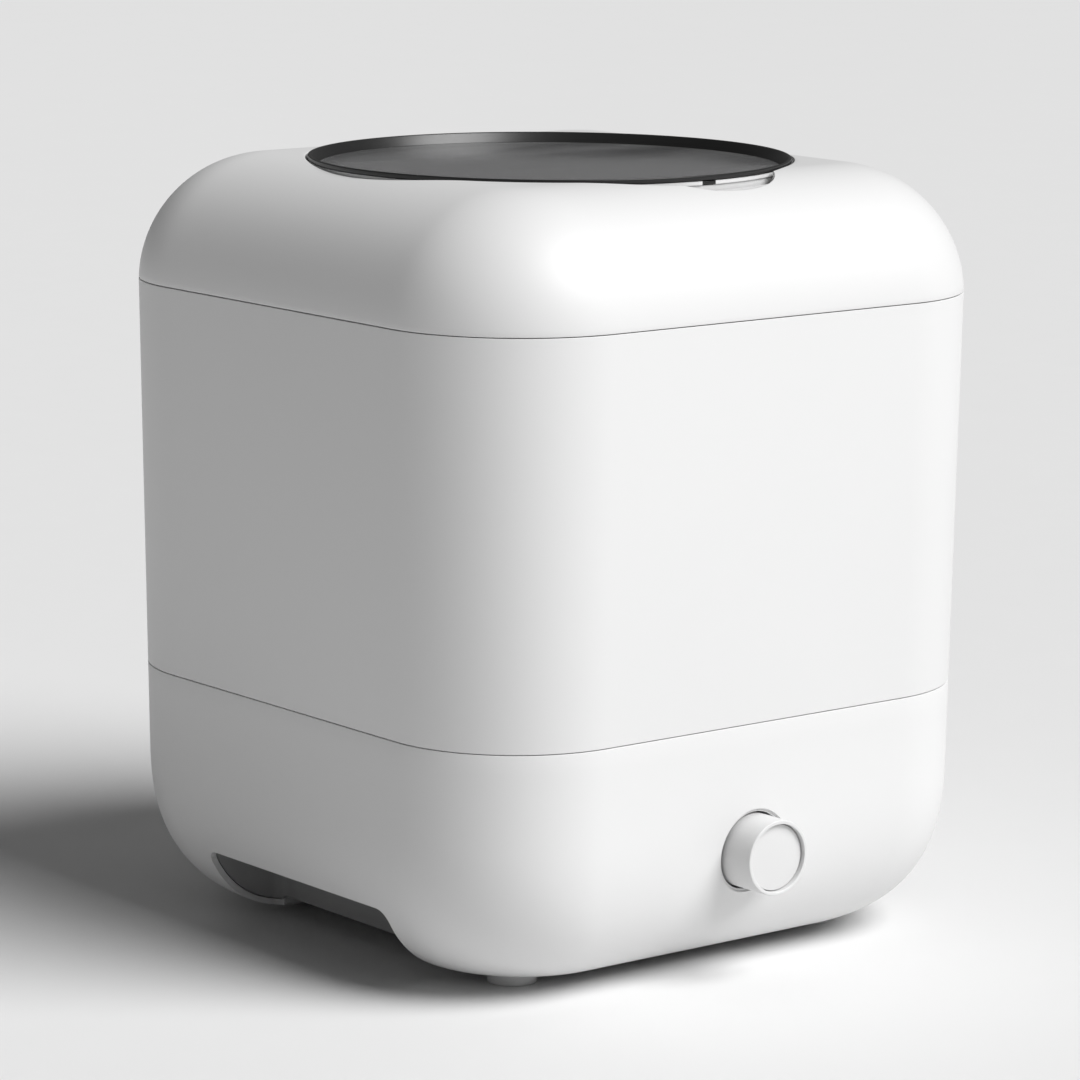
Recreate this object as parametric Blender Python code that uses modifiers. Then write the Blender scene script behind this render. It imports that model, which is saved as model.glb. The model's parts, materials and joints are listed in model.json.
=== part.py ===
"""Portable mini washer: a rounded-cube casing in three shells, a wash tub with a belt-driven pulsator,
a round hinged lid, a turning control knob with a push button, and a rear drain with a pull-off cap.

The origin is on the floor under the body's centre. +Z is up, the knob's face is at -Y, +X is right.
"""

import math

import bmesh
import bpy
from mathutils import Matrix, Vector

MM = 0.001

# Casing
HALF_WIDTH = 150 * MM  # half the body's width at the upper seam
CORNER_RADIUS = 65.7 * MM  # upright edges, in plan
DRAFT = 0.0163  # half width lost for each metre below the upper seam
UPPER_SEAM_Z = 289.2 * MM
LOWER_SEAM_Z = 113.9 * MM
SEAM_GAP = 0.8 * MM
WALL = 2.5 * MM
TOP_ROUND_Z = 287.2 * MM  # where the top's rounding starts
TOP_ROUND_WIDTH = 58.4 * MM
TOP_ROUND_HEIGHT = 58.0 * MM
BASE_ROUND_Z = 75.6 * MM  # where the base's rounding starts
BASE_ROUND_WIDTH = 58.9 * MM
BASE_ROUND_HEIGHT = 72.2 * MM
BASE_ROUND_POWER = 2.52  # a little squarer than a quarter circle
BASE_CORNER_SHRINK = 0.4715  # corner radius lost for each unit of inset under the body
BASE_MIN_CORNER = 15 * MM
LIP_INSET = 3.3 * MM  # the middle shell's lips, inside its neighbours
LIP_INNER = 4.8 * MM
LIP_HEIGHT = 3.2 * MM
LIP_ROOT = 5 * MM

# Lid and its seat in the top cover
LID_RADIUS = 107.5 * MM
LID_TOP_Z = 346.2 * MM
LID_LEDGE_Z = LID_TOP_Z - 8.5 * MM  # underside of the ledge that carries the window
LID_BAND_Z = LID_TOP_Z - 2.1 * MM  # lower edge of the rim's outer band
SEAT_RADIUS = 108.7 * MM
SEAT_FLOOR_Z = 333 * MM
SEAT_WALL = 2.5 * MM
NECK_RADIUS = 96.6 * MM
NECK_WALL = 2.2 * MM
NECK_BOTTOM_Z = 318 * MM
WINDOW_TOP_Z = LID_TOP_Z - 4.5 * MM
WINDOW_RADIUS = 103.2 * MM
HINGE_Y = 113 * MM
HINGE_Z = 338.9 * MM
HINGE_PIN_RADIUS = 1.5 * MM
HINGE_PIN_REACH = 24.4 * MM
KNUCKLE_RADIUS = 3.6 * MM
CATCH_X = 2.2 * MM
CATCH_HALF = 3.5 * MM
KNUCKLE_HALF_LENGTH = 20 * MM
HINGE_NOTCH_HALF = 21.2 * MM
SCOOP_FLOOR_Z = 339.5 * MM
SCOOP_X = 12.2 * MM
SCOOP_Y = -80.1 * MM
SCOOP_RADIUS = 38.2 * MM

# Hand grips, feet and base
CHANNEL_TOP_Z = 8.6 * MM  # the underside is raised to here between the two grips
GRIP_HALF_LENGTH = 66.8 * MM
GRIP_TOP_Z = 35.7 * MM
GRIP_INNER_X = 99 * MM
GRIP_ROUND = 6 * MM
LINER_WALL = 2 * MM
FOOT_PLACE = 84.8 * MM
FOOT_RADIUS = 10.9 * MM
FOOT_TOP_Z = 6.6 * MM
PAN_HALF = 80 * MM
PAN_BOTTOM_Z = CHANNEL_TOP_Z + WALL + 0.4 * MM
PAN_THICKNESS = 2.2 * MM
SERVICE_HALF = 56 * MM
POST_X = 50 * MM
POST_Y = 76 * MM
POST_RADIUS = 5 * MM
BASE_SCREW_X = 68 * MM
BASE_SCREW_Y = 38 * MM

# Tub and drive
DECK_BOTTOM_Z = 117.2 * MM
DECK_TOP_Z = 119.7 * MM
DECK_HALF = 141 * MM
TUB_RADIUS = 100 * MM
TUB_WALL = 2.5 * MM
TUB_FLOOR_Z = 126.5 * MM
TUB_TOP_Z = 328.5 * MM
SHAFT_RADIUS = 5 * MM
RUNNING_GAP = 0.3 * MM
PULLEY_RADIUS = 40 * MM
MOTOR_PULLEY_RADIUS = 10 * MM
PULLEY_MID_Z = 68 * MM
BELT_THICKNESS = 3 * MM
BELT_HALF_HEIGHT = 2.7 * MM
MOTOR_Y = 66 * MM
MOTOR_RADIUS = 28 * MM
MOTOR_BOTTOM_Z = 79 * MM
MOTOR_TOP_Z = 112 * MM
MOTOR_SCREW_X = 19 * MM
BRACKET_POST_X = 37 * MM
HOUSING_RADIUS = 16.4 * MM
HOUSING_FLANGE = 30 * MM
HOUSING_SCREW_CIRCLE = 24 * MM

# Control knob and rear fittings
KNOB_Z = 57 * MM
KNOB_FACE_Y = -161.6 * MM
KNOB_RADIUS = 16.6 * MM
KNOB_HOLE_RADIUS = 17.6 * MM
KNOB_RIM_RADIUS = 18.9 * MM  # a shallow step round the knob's hole
KNOB_RIM_DEPTH = 1.1 * MM
KNOB_BOSS_END_Y = -134 * MM
BUTTON_RADIUS = 14.5 * MM
DRAIN_X = -66 * MM
DRAIN_Y = 58 * MM
DRAIN_Z = 44 * MM
DRAIN_RADIUS = 9 * MM
DRAIN_END_Y = 161.6 * MM  # level with the knob's reach at the front
INLET_X = 70 * MM
INLET_Z = 88 * MM

CORNER_STEPS = 7
ROUND_STEPS = 7
LARGE_TURN = 40
MEDIUM_TURN = 24
SMALL_TURN = 16

FRONT = Matrix.Rotation(math.pi / 2, 4, "X")  # turns local +Z towards -Y
REAR = Matrix.Rotation(-math.pi / 2, 4, "X")  # turns local +Z towards +Y
SIDE = Matrix.Rotation(math.pi / 2, 4, "Y")  # turns local +Z towards +X
UPRIGHT = Matrix.Identity(4)

# Finishes: colour, roughness, metallic
WHITE_PLASTIC = ((0.86, 0.86, 0.86), 0.42, 0.0)
TUB_PLASTIC = ((0.78, 0.79, 0.80), 0.35, 0.0)
BLACK_PLASTIC = ((0.02, 0.02, 0.02), 0.25, 0.0)
GREY_PLASTIC = ((0.09, 0.09, 0.09), 0.75, 0.0)
TINTED_GLASS = ((0.10, 0.10, 0.10), 0.12, 0.0)
RUBBER = ((0.22, 0.22, 0.22), 0.85, 0.0)
STEEL = ((0.60, 0.60, 0.60), 0.30, 1.0)
ZINC = ((0.55, 0.56, 0.58), 0.45, 1.0)
BOARD_GREEN = ((0.03, 0.20, 0.07), 0.55, 0.0)
BELT_BLACK = ((0.03, 0.03, 0.03), 0.80, 0.0)


# ---------------------------------------------------------------- scene and object helpers


def clear_scene():
    for obj in list(bpy.data.objects):
        bpy.data.objects.remove(obj, do_unlink=True)


def new_collection(name):
    collection = bpy.data.collections.new(name)
    bpy.context.scene.collection.children.link(collection)
    return collection


def add_object(name, data, collection, placing=UPRIGHT, at=(0, 0, 0)):
    obj = bpy.data.objects.new(name, data)
    obj.matrix_world = Matrix.Translation(Vector(at)) @ placing
    collection.objects.link(obj)
    return obj


def finish(obj, look):
    """Gives the object a Principled material of its own."""
    colour, roughness, metallic = look
    material = bpy.data.materials.new(obj.name + "_finish")
    material.use_nodes = True
    shader = material.node_tree.nodes["Principled BSDF"]
    shader.inputs["Base Color"].default_value = (*colour, 1.0)
    shader.inputs["Roughness"].default_value = roughness
    shader.inputs["Metallic"].default_value = metallic
    obj.data.materials.append(material)
    return obj


def as_cutter(obj):
    """Moves an object among the cutters, which shape their neighbours and aren't parts."""
    for collection in obj.users_collection:
        collection.objects.unlink(obj)
    cutters.objects.link(obj)
    obj.hide_render = True
    obj.display_type = "WIRE"
    return obj


def combine(target, other, operation="DIFFERENCE"):
    modifier = target.modifiers.new(other.name, "BOOLEAN")
    modifier.operation = operation
    modifier.object = other
    modifier.solver = "EXACT"
    return target


def mesh_from(bm, name):
    bmesh.ops.recalc_face_normals(bm, faces=bm.faces[:])
    mesh = bpy.data.meshes.new(name)
    bm.to_mesh(mesh)
    bm.free()
    return mesh


def smooth(obj, sharp_angle=35):
    obj.data.shade_smooth()
    obj.data.set_sharp_from_angle(angle=math.radians(sharp_angle))
    return obj


# ---------------------------------------------------------------- shape helpers


def turned(name, profile, steps, placing=UPRIGHT, at=(0, 0, 0)):
    """A turned piece. The profile's (radius, height) points run down its outer side.
    A profile that starts and ends on the axis is open, and any other is a closed ring."""
    on_axis = profile[0][0] == 0 and profile[-1][0] == 0
    count = len(profile)
    last = count - 1 if on_axis else count
    mesh = bpy.data.meshes.new(name)
    edges = [(i, (i + 1) % count) for i in range(last)]
    mesh.from_pydata([(r, 0, z) for r, z in profile], edges, [])
    obj = add_object(name, mesh, parts, placing, at)
    screw = obj.modifiers.new("turn", "SCREW")
    screw.steps = steps
    screw.render_steps = steps
    screw.use_merge_vertices = True
    screw.merge_threshold = 0.00001
    screw.use_smooth_shade = True
    return obj


def rod(name, radius, start, length, placing=UPRIGHT, steps=SMALL_TURN):
    """A plain cylinder that runs from a start point along the placing's own +Z."""
    bm = bmesh.new()
    lift = Matrix.Translation((0, 0, length / 2))
    bmesh.ops.create_cone(
        bm, cap_ends=True, segments=steps, radius1=radius, radius2=radius, depth=length, matrix=lift
    )
    return smooth(add_object(name, mesh_from(bm, name), parts, placing, start))


def block(name, low, high, rounding=0.0, steps=3):
    """A box between two corners, with its edges rounded if asked."""
    low, high = Vector(low), Vector(high)
    bm = bmesh.new()
    bmesh.ops.create_cube(bm, size=1)
    bmesh.ops.scale(bm, vec=high - low, verts=bm.verts)
    obj = add_object(name, mesh_from(bm, name), parts, at=(low + high) / 2)
    if rounding:
        bevel = obj.modifiers.new("rounding", "BEVEL")
        bevel.width = rounding
        bevel.segments = steps
        bevel.limit_method = "NONE"
    return obj


def extruded(name, outline, thickness, placing=UPRIGHT, at=(0, 0, 0)):
    """A flat outline of (x, y) points, thickened upwards from its own plane."""
    bm = bmesh.new()
    face = bm.faces.new([bm.verts.new((x, y, 0)) for x, y in outline])
    made = bmesh.ops.extrude_face_region(bm, geom=[face])
    raised = [v for v in made["geom"] if isinstance(v, bmesh.types.BMVert)]
    bmesh.ops.translate(bm, vec=(0, 0, thickness), verts=raised)
    return add_object(name, mesh_from(bm, name), parts, placing, at)


def flat_plate(name, outlines, bottom, top):
    """A plate between two heights. The first outline is its edge and the others are its holes."""
    curve = bpy.data.curves.new(name, "CURVE")
    curve.dimensions = "2D"
    curve.fill_mode = "BOTH"
    curve.extrude = (top - bottom) / 2
    for outline in outlines:
        spline = curve.splines.new("POLY")
        spline.points.add(len(outline) - 1)
        for point, (x, y) in zip(spline.points, outline):
            point.co = (x, y, 0, 1)
        spline.use_cyclic_u = True
    return add_object(name, curve, parts, at=(0, 0, (top + bottom) / 2))


def wire(name, points, radius, bevel_steps=2):
    """A round wire or pipe along the points, with closed ends."""
    curve = bpy.data.curves.new(name, "CURVE")
    curve.dimensions = "3D"
    curve.bevel_depth = radius
    curve.bevel_resolution = bevel_steps
    curve.use_fill_caps = True
    spline = curve.splines.new("POLY")
    spline.points.add(len(points) - 1)
    for point, place in zip(spline.points, points):
        point.co = (*place, 1)
    return add_object(name, curve, parts)


def circle(x, y, radius, steps=SMALL_TURN):
    turns = [2 * math.pi * i / steps for i in range(steps)]
    return [(x + radius * math.cos(t), y + radius * math.sin(t)) for t in turns]


def rounded_square(half, corner, steps=CORNER_STEPS):
    """Outline of a square with rounded corners, anticlockwise from above."""
    points = []
    for quarter in range(4):
        for step in range(steps + 1):
            angle = math.pi / 2 * step / steps
            x = half - corner + corner * math.cos(angle)
            y = half - corner + corner * math.sin(angle)
            turn = Matrix.Rotation(math.pi / 2 * quarter, 2)
            points.append(tuple(turn @ Vector((x, y))))
    return points


def loft(name, sections, ring=False):
    """Skins (outline, height) sections in order. A ring closes on its first section, else the
    ends are capped."""
    bm = bmesh.new()
    loops = [[bm.verts.new((x, y, z)) for x, y in outline] for outline, z in sections]
    pairs = list(zip(loops, loops[1:]))
    if ring:
        pairs.append((loops[-1], loops[0]))
    else:
        bm.faces.new(loops[0])
        bm.faces.new(loops[-1])
    for lower, upper in pairs:
        for i in range(len(lower)):
            j = (i + 1) % len(lower)
            bm.faces.new((lower[i], lower[j], upper[j], upper[i]))
    return smooth(add_object(name, mesh_from(bm, name), parts))


def smooth_route(points, spacing):
    """Points a fixed distance apart, or a little less, on a Catmull-Rom curve through the
    given ones."""
    points = [Vector(p) for p in points]
    ends = [2 * points[0] - points[1]] + points + [2 * points[-1] - points[-2]]
    route = []
    for a, b, c, d in zip(ends, ends[1:], ends[2:], ends[3:]):
        count = max(2, math.ceil((c - b).length / spacing))
        for i in range(count):
            t = i / count
            along = 0.5 * (2 * b + (c - a) * t + (2 * a - 5 * b + 4 * c - d) * t**2)
            route.append(along + 0.5 * (3 * b - a - 3 * c + d) * t**3)
    return route + [points[-1]]


# ---------------------------------------------------------------- casing outline


def half_width_at(z):
    return HALF_WIDTH - DRAFT * (UPPER_SEAM_Z - z)


def side_section(inset, z):
    """The casing's outline on its drafted sides, moved inwards by the inset."""
    lost = HALF_WIDTH - half_width_at(min(z, UPPER_SEAM_Z)) + inset
    return rounded_square(HALF_WIDTH - lost, CORNER_RADIUS - lost), z


def top_sections(inset, start_z):
    """From start_z up over the top's rounding, the whole surface moved inwards by the inset."""
    sections = [side_section(inset, start_z)]
    if start_z < TOP_ROUND_Z:
        sections.append(side_section(inset, TOP_ROUND_Z))
    width = TOP_ROUND_WIDTH - inset
    height = TOP_ROUND_HEIGHT - inset
    for step in (0.5, *range(1, ROUND_STEPS + 1)):
        angle = math.pi / 2 * step / ROUND_STEPS
        gone = inset + width * (1 - math.cos(angle))
        corner = CORNER_RADIUS - gone
        z = TOP_ROUND_Z + height * math.sin(angle)
        sections.append((rounded_square(HALF_WIDTH - gone, corner), z))
    return sections


def base_sections(inset, start_z):
    """From start_z down over the base's rounding, the whole surface moved inwards by the inset."""
    sections = [side_section(inset, start_z)]
    width = BASE_ROUND_WIDTH - inset
    height = BASE_ROUND_HEIGHT - inset
    for step in range(ROUND_STEPS + 1):
        angle = math.pi / 2 * step / ROUND_STEPS
        across = math.cos(angle) ** (2 / BASE_ROUND_POWER)
        down = math.sin(angle) ** (2 / BASE_ROUND_POWER)
        gone = width * (1 - across)
        z = BASE_ROUND_Z - height * down
        half = half_width_at(z) - inset - gone
        taper = HALF_WIDTH - half_width_at(z)
        corner = CORNER_RADIUS - taper - inset - BASE_CORNER_SHRINK * gone
        sections.append((rounded_square(half, max(corner, BASE_MIN_CORNER)), z))
    return sections


# ---------------------------------------------------------------- casing


def build_top_cover():
    """The upper shell: a rounded dome with the lid's round seat, the neck, a finger scoop and
    the hinge notch."""
    start = UPPER_SEAM_Z + SEAM_GAP / 2
    cover = loft("top_cover", top_sections(0, start))
    hollow = as_cutter(loft("cover_hollow", top_sections(WALL, start - 10 * MM)))
    seat_bottom = SEAT_FLOOR_Z - SEAT_WALL
    seat = rod("seat_body", SEAT_RADIUS + SEAT_WALL, (0, 0, seat_bottom), 60 * MM, steps=LARGE_TURN)
    neck = rod("neck_body", NECK_RADIUS + NECK_WALL, (0, 0, NECK_BOTTOM_Z), 60 * MM, steps=LARGE_TURN)
    hinge_box = block("hinge_body", (-25 * MM, 95 * MM, seat_bottom), (25 * MM, 121.5 * MM, 380 * MM))
    scoop_at = (SCOOP_X, SCOOP_Y, SCOOP_FLOOR_Z - WALL)
    scoop_body = rod("scoop_body", SCOOP_RADIUS + WALL, scoop_at, 60 * MM, steps=MEDIUM_TURN)
    for solid in (seat, neck, hinge_box, scoop_body):
        combine(hollow, as_cutter(solid))
    combine(cover, hollow)

    recess = rod("seat_recess", SEAT_RADIUS, (0, 0, SEAT_FLOOR_Z), 60 * MM, steps=LARGE_TURN)
    opening = rod("neck_opening", NECK_RADIUS, (0, 0, 280 * MM), 100 * MM, steps=LARGE_TURN)
    notch_low = (-HINGE_NOTCH_HALF, 95 * MM, SEAT_FLOOR_Z)
    notch = block("hinge_notch", notch_low, (HINGE_NOTCH_HALF, 118.6 * MM, 380 * MM))
    scoop_at = (SCOOP_X, SCOOP_Y, SCOOP_FLOOR_Z)
    scoop = rod("finger_scoop", SCOOP_RADIUS, scoop_at, 60 * MM, steps=LARGE_TURN)
    pin_start = (-HINGE_PIN_REACH - 0.3 * MM, HINGE_Y, HINGE_Z)
    pin_hole = rod("pin_hole", HINGE_PIN_RADIUS + 0.3 * MM, pin_start, -2 * pin_start[0], SIDE)
    for void in (recess, opening, notch, scoop, pin_hole):
        combine(cover, as_cutter(void))
    return finish(cover, WHITE_PLASTIC)


def build_body_shell():
    """The middle wall, with a lip at each end that slides inside its neighbour."""
    top = UPPER_SEAM_Z - SEAM_GAP / 2
    bottom = LOWER_SEAM_Z + SEAM_GAP / 2
    stations = [
        (0, bottom),
        (0, top),
        (LIP_INSET, top),
        (LIP_INSET, top + LIP_HEIGHT),
        (LIP_INNER, top + LIP_HEIGHT),
        (LIP_INNER, top - LIP_ROOT),
        (WALL, top - LIP_ROOT - 3 * MM),
        (WALL, bottom + LIP_ROOT + 3 * MM),
        (LIP_INNER, bottom + LIP_ROOT),
        (LIP_INNER, bottom - LIP_HEIGHT),
        (LIP_INSET, bottom - LIP_HEIGHT),
        (LIP_INSET, bottom),
    ]
    shell = loft("body_shell", [side_section(inset, z) for inset, z in stations], ring=True)
    return finish(shell, WHITE_PLASTIC)


def grip_box(name, side, extra):
    """The space of one hand grip, grown by extra on its top, ends and inner wall."""
    inner, outer = GRIP_INNER_X - extra, 180 * MM
    low = (min(side * inner, side * outer), -GRIP_HALF_LENGTH - extra, -30 * MM)
    high = (max(side * inner, side * outer), GRIP_HALF_LENGTH + extra, GRIP_TOP_Z + extra)
    return as_cutter(block(name, low, high, GRIP_ROUND + extra))


def channel(name, half_length, extra):
    """The raised underside between the grips, grown upwards and sideways by extra."""
    low = (-half_length, -GRIP_HALF_LENGTH - extra, -30 * MM)
    high = (half_length, GRIP_HALF_LENGTH + extra, CHANNEL_TOP_Z + extra)
    return as_cutter(block(name, low, high))


def knob_rim():
    """The step round the knob's hole: the outer skin of the base within the rim's circle."""
    rim = rod("knob_rim", KNOB_RIM_RADIUS, (0, -120 * MM, KNOB_Z), 60 * MM, FRONT, MEDIUM_TURN)
    skin_below = loft("knob_rim_floor", base_sections(KNOB_RIM_DEPTH, LOWER_SEAM_Z))
    return combine(rim, as_cutter(skin_below))


def foot_places():
    places = []
    for row, y in (("front", -FOOT_PLACE), ("rear", FOOT_PLACE)):
        for side, x in (("left", -FOOT_PLACE), ("right", FOOT_PLACE)):
            places.append((row + "_" + side, x, y))
    return places


def corner_places(x, y):
    return [(i * x, j * y) for i in (-1, 1) for j in (-1, 1)]


def build_base_shell():
    """The lower shell: a rounded tray with two hand grips, a knob boss, foot seats and a
    service opening."""
    base = loft("base_shell", base_sections(0, LOWER_SEAM_Z - SEAM_GAP / 2))
    hollow = as_cutter(loft("base_hollow", base_sections(WALL, LOWER_SEAM_Z + 10 * MM)))
    for name, x, y in foot_places():
        foot_boss = rod("foot_boss_" + name, FOOT_RADIUS + 2.6 * MM, (x, y, -5 * MM), 14.5 * MM)
        combine(hollow, as_cutter(foot_boss))
    boss_start = (0, KNOB_BOSS_END_Y, KNOB_Z)
    knob_boss = rod("knob_boss", KNOB_RIM_RADIUS + WALL, boss_start, 40 * MM, FRONT, MEDIUM_TURN)
    combine(hollow, as_cutter(knob_boss))
    combine(hollow, channel("channel_body", GRIP_INNER_X - LINER_WALL - 0.3 * MM, WALL))
    combine(base, hollow)
    combine(base, channel("underside_channel", GRIP_INNER_X + MM, 0))

    for side, word in ((-1, "left"), (1, "right")):
        combine(base, grip_box("grip_space_" + word, side, 0))
    for name, x, y in foot_places():
        seat = rod("foot_seat_" + name, FOOT_RADIUS + 0.4 * MM, (x, y, -5 * MM), 11.9 * MM)
        combine(base, as_cutter(seat))
        combine(base, as_cutter(rod("foot_hole_" + name, 3.6 * MM, (x, y, 0), 30 * MM)))
    knob_hole = rod("knob_hole", KNOB_HOLE_RADIUS, (0, -120 * MM, KNOB_Z), 60 * MM, FRONT, MEDIUM_TURN)
    drain_hole = rod("drain_hole", DRAIN_RADIUS + 0.5 * MM, (DRAIN_X, 120 * MM, DRAIN_Z), 60 * MM, REAR)
    inlet_hole = rod("inlet_hole", 7.4 * MM, (INLET_X, 120 * MM, INLET_Z), 60 * MM, REAR)
    service = loft(
        "service_opening", [(rounded_square(SERVICE_HALF, 10 * MM, 3), z) for z in (-5 * MM, 20 * MM)]
    )
    for void in (knob_hole, knob_rim(), drain_hole, inlet_hole, service):
        combine(base, as_cutter(void))
    for i, (x, y) in enumerate(corner_places(BASE_SCREW_X, BASE_SCREW_Y)):
        combine(base, as_cutter(rod(f"base_screw_hole_{i + 1}", 2 * MM, (x, y, -5 * MM), 20 * MM)))
    return finish(base, WHITE_PLASTIC)


def build_grip_liner(side, word):
    """The dark liner of a hand grip: a cup that is open outwards and downwards."""
    liner = loft("grip_liner_" + word, base_sections(WALL + 0.5 * MM, LOWER_SEAM_Z))
    combine(liner, grip_box("liner_outside_" + word, side, LINER_WALL), "INTERSECT")
    combine(liner, grip_box("liner_inside_" + word, side, -0.1 * MM))
    combine(liner, channel("liner_channel_" + word, GRIP_INNER_X + MM, -0.1 * MM))
    return finish(liner, GREY_PLASTIC)


def build_foot(name, x, y):
    """A rubber foot: a pad seated in the base, with a push-in stem."""
    profile = [
        (0, 13 * MM),
        (3.2 * MM, 13 * MM),
        (3.2 * MM, FOOT_TOP_Z),
        (FOOT_RADIUS, FOOT_TOP_Z),
        (FOOT_RADIUS, 0.8 * MM),
        (FOOT_RADIUS - 0.8 * MM, 0),
        (0, 0),
    ]
    return finish(turned("foot_" + name, profile, 24, at=(x, y, 0)), RUBBER)


def build_base_pan():
    """The inner tray on the base's floor, with four tall posts under the deck and four screw bosses."""
    top = PAN_BOTTOM_Z + PAN_THICKNESS
    outline = rounded_square(PAN_HALF, 28 * MM, 4)
    pan = loft("base_pan", [(outline, PAN_BOTTOM_Z), (outline, top)])
    for i, (x, y) in enumerate(corner_places(POST_X, POST_Y)):
        start_z = PAN_BOTTOM_Z + MM
        post = rod(f"post_{i + 1}", POST_RADIUS, (x, y, start_z), DECK_BOTTOM_Z - 0.3 * MM - start_z)
        combine(pan, as_cutter(post), "UNION")
        hole = rod(f"post_hole_{i + 1}", 1.9 * MM, (x, y, 104 * MM), 30 * MM, steps=8)
        combine(pan, as_cutter(hole))
    for i, (x, y) in enumerate(corner_places(BASE_SCREW_X, BASE_SCREW_Y)):
        boss = rod(f"pan_boss_{i + 1}", 4 * MM, (x, y, PAN_BOTTOM_Z + MM), 7 * MM)
        combine(pan, as_cutter(boss), "UNION")
        hole = rod(f"pan_hole_{i + 1}", 1.9 * MM, (x, y, 0), 30 * MM, steps=8)
        combine(pan, as_cutter(hole))
    return finish(pan, GREY_PLASTIC)


def build_screw(name, x, y, seat_z, length, upwards=False, head=(3.2 * MM, 2.2 * MM), shank=1.5 * MM):
    """A pan-head screw. Its head rests at seat_z, and its shank runs down, or up if it is upwards."""
    head_radius, head_height = head
    profile = [
        (0, head_height),
        (head_radius * 0.7, head_height),
        (head_radius, head_height * 0.6),
        (head_radius, 0),
        (shank, 0),
        (shank, -length),
        (0, -length),
    ]
    placing = Matrix.Rotation(math.pi, 4, "X") if upwards else UPRIGHT
    return finish(turned(name, profile, 8, placing, (x, y, seat_z)), ZINC)


# ---------------------------------------------------------------- tub and drive


def build_deck():
    """The steel deck across the casing that carries the tub, the bearing housing and the motor
    bracket."""
    outlines = [rounded_square(DECK_HALF, 60 * MM), circle(0, 0, HOUSING_RADIUS + 0.6 * MM, 24)]
    outlines.append(circle(DRAIN_X, DRAIN_Y, DRAIN_RADIUS + MM))
    for x, y in corner_places(POST_X, POST_Y):
        outlines.append(circle(x, y, 2.2 * MM, 8))
    for x, y in housing_screw_places():
        outlines.append(circle(x, y, 2 * MM, 8))
    return finish(flat_plate("chassis_deck", outlines, DECK_BOTTOM_Z, DECK_TOP_Z), STEEL)


def build_tub():
    """The wash tub: a round bowl with a top flange, a foot ring, a shaft hole and a drain hole."""
    outer = TUB_RADIUS + TUB_WALL
    under = TUB_FLOOR_Z - TUB_WALL
    ring_bottom = DECK_TOP_Z + 0.3 * MM
    profile = [
        (TUB_RADIUS, TUB_TOP_Z),
        (112 * MM, TUB_TOP_Z),
        (112 * MM, TUB_TOP_Z - TUB_WALL),
        (outer, TUB_TOP_Z - TUB_WALL),
        (outer, under + 5 * MM),
        (outer - 5 * MM, under),
        (63 * MM, under),
        (63 * MM, ring_bottom),
        (60 * MM, ring_bottom),
        (60 * MM, under),
        (9 * MM, under),
        (9 * MM, TUB_FLOOR_Z),
        (TUB_RADIUS - 8 * MM, TUB_FLOOR_Z),
        (TUB_RADIUS - 2 * MM, TUB_FLOOR_Z + 3 * MM),
        (TUB_RADIUS, TUB_FLOOR_Z + 9 * MM),
    ]
    tub = turned("wash_tub", profile, LARGE_TURN)
    combine(tub, as_cutter(rod("tub_drain_hole", 7 * MM, (DRAIN_X, DRAIN_Y, 110 * MM), 30 * MM)))
    return finish(tub, TUB_PLASTIC)


def build_ring(name, inner, outer, bottom, top, steps, look):
    """A plain ring about the tub's axis: a seal, gasket, bearing or nut."""
    profile = [(inner, top), (outer, top), (outer, bottom), (inner, bottom)]
    return finish(turned(name, profile, steps), look)


def housing_screw_places():
    angles = [math.radians(30 + 120 * i) for i in range(3)]
    return [(HOUSING_SCREW_CIRCLE * math.cos(a), HOUSING_SCREW_CIRCLE * math.sin(a)) for a in angles]


def build_bearing_housing():
    """The housing under the tub: a flanged tube with a seat for a bearing at each end."""
    seat, neck = 11.6 * MM, 8 * MM
    flange_top = DECK_BOTTOM_Z - 0.3 * MM
    profile = [
        (seat, 123.6 * MM),
        (HOUSING_RADIUS, 123.6 * MM),
        (HOUSING_RADIUS, flange_top),
        (HOUSING_FLANGE, flange_top),
        (HOUSING_FLANGE, flange_top - 3 * MM),
        (HOUSING_RADIUS, flange_top - 3 * MM),
        (HOUSING_RADIUS, 80 * MM),
        (seat, 80 * MM),
        (seat, 92 * MM),
        (neck, 92 * MM),
        (neck, 106 * MM),
        (seat, 106 * MM),
    ]
    housing = turned("bearing_housing", profile, 24)
    for i, (x, y) in enumerate(housing_screw_places()):
        hole = rod(f"flange_hole_{i + 1}", 1.9 * MM, (x, y, 110 * MM), 9 * MM, steps=8)
        combine(housing, as_cutter(hole))
    return finish(housing, ZINC)


def build_shaft():
    """The drive shaft, with a blind screw hole in its top."""
    profile = [
        (0, 130 * MM),
        (2.3 * MM, 130 * MM),
        (2.3 * MM, 139.7 * MM),
        (SHAFT_RADIUS, 139.7 * MM),
        (SHAFT_RADIUS, 58 * MM),
        (0, 58 * MM),
    ]
    return finish(turned("drive_shaft", profile, SMALL_TURN), STEEL)


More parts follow.
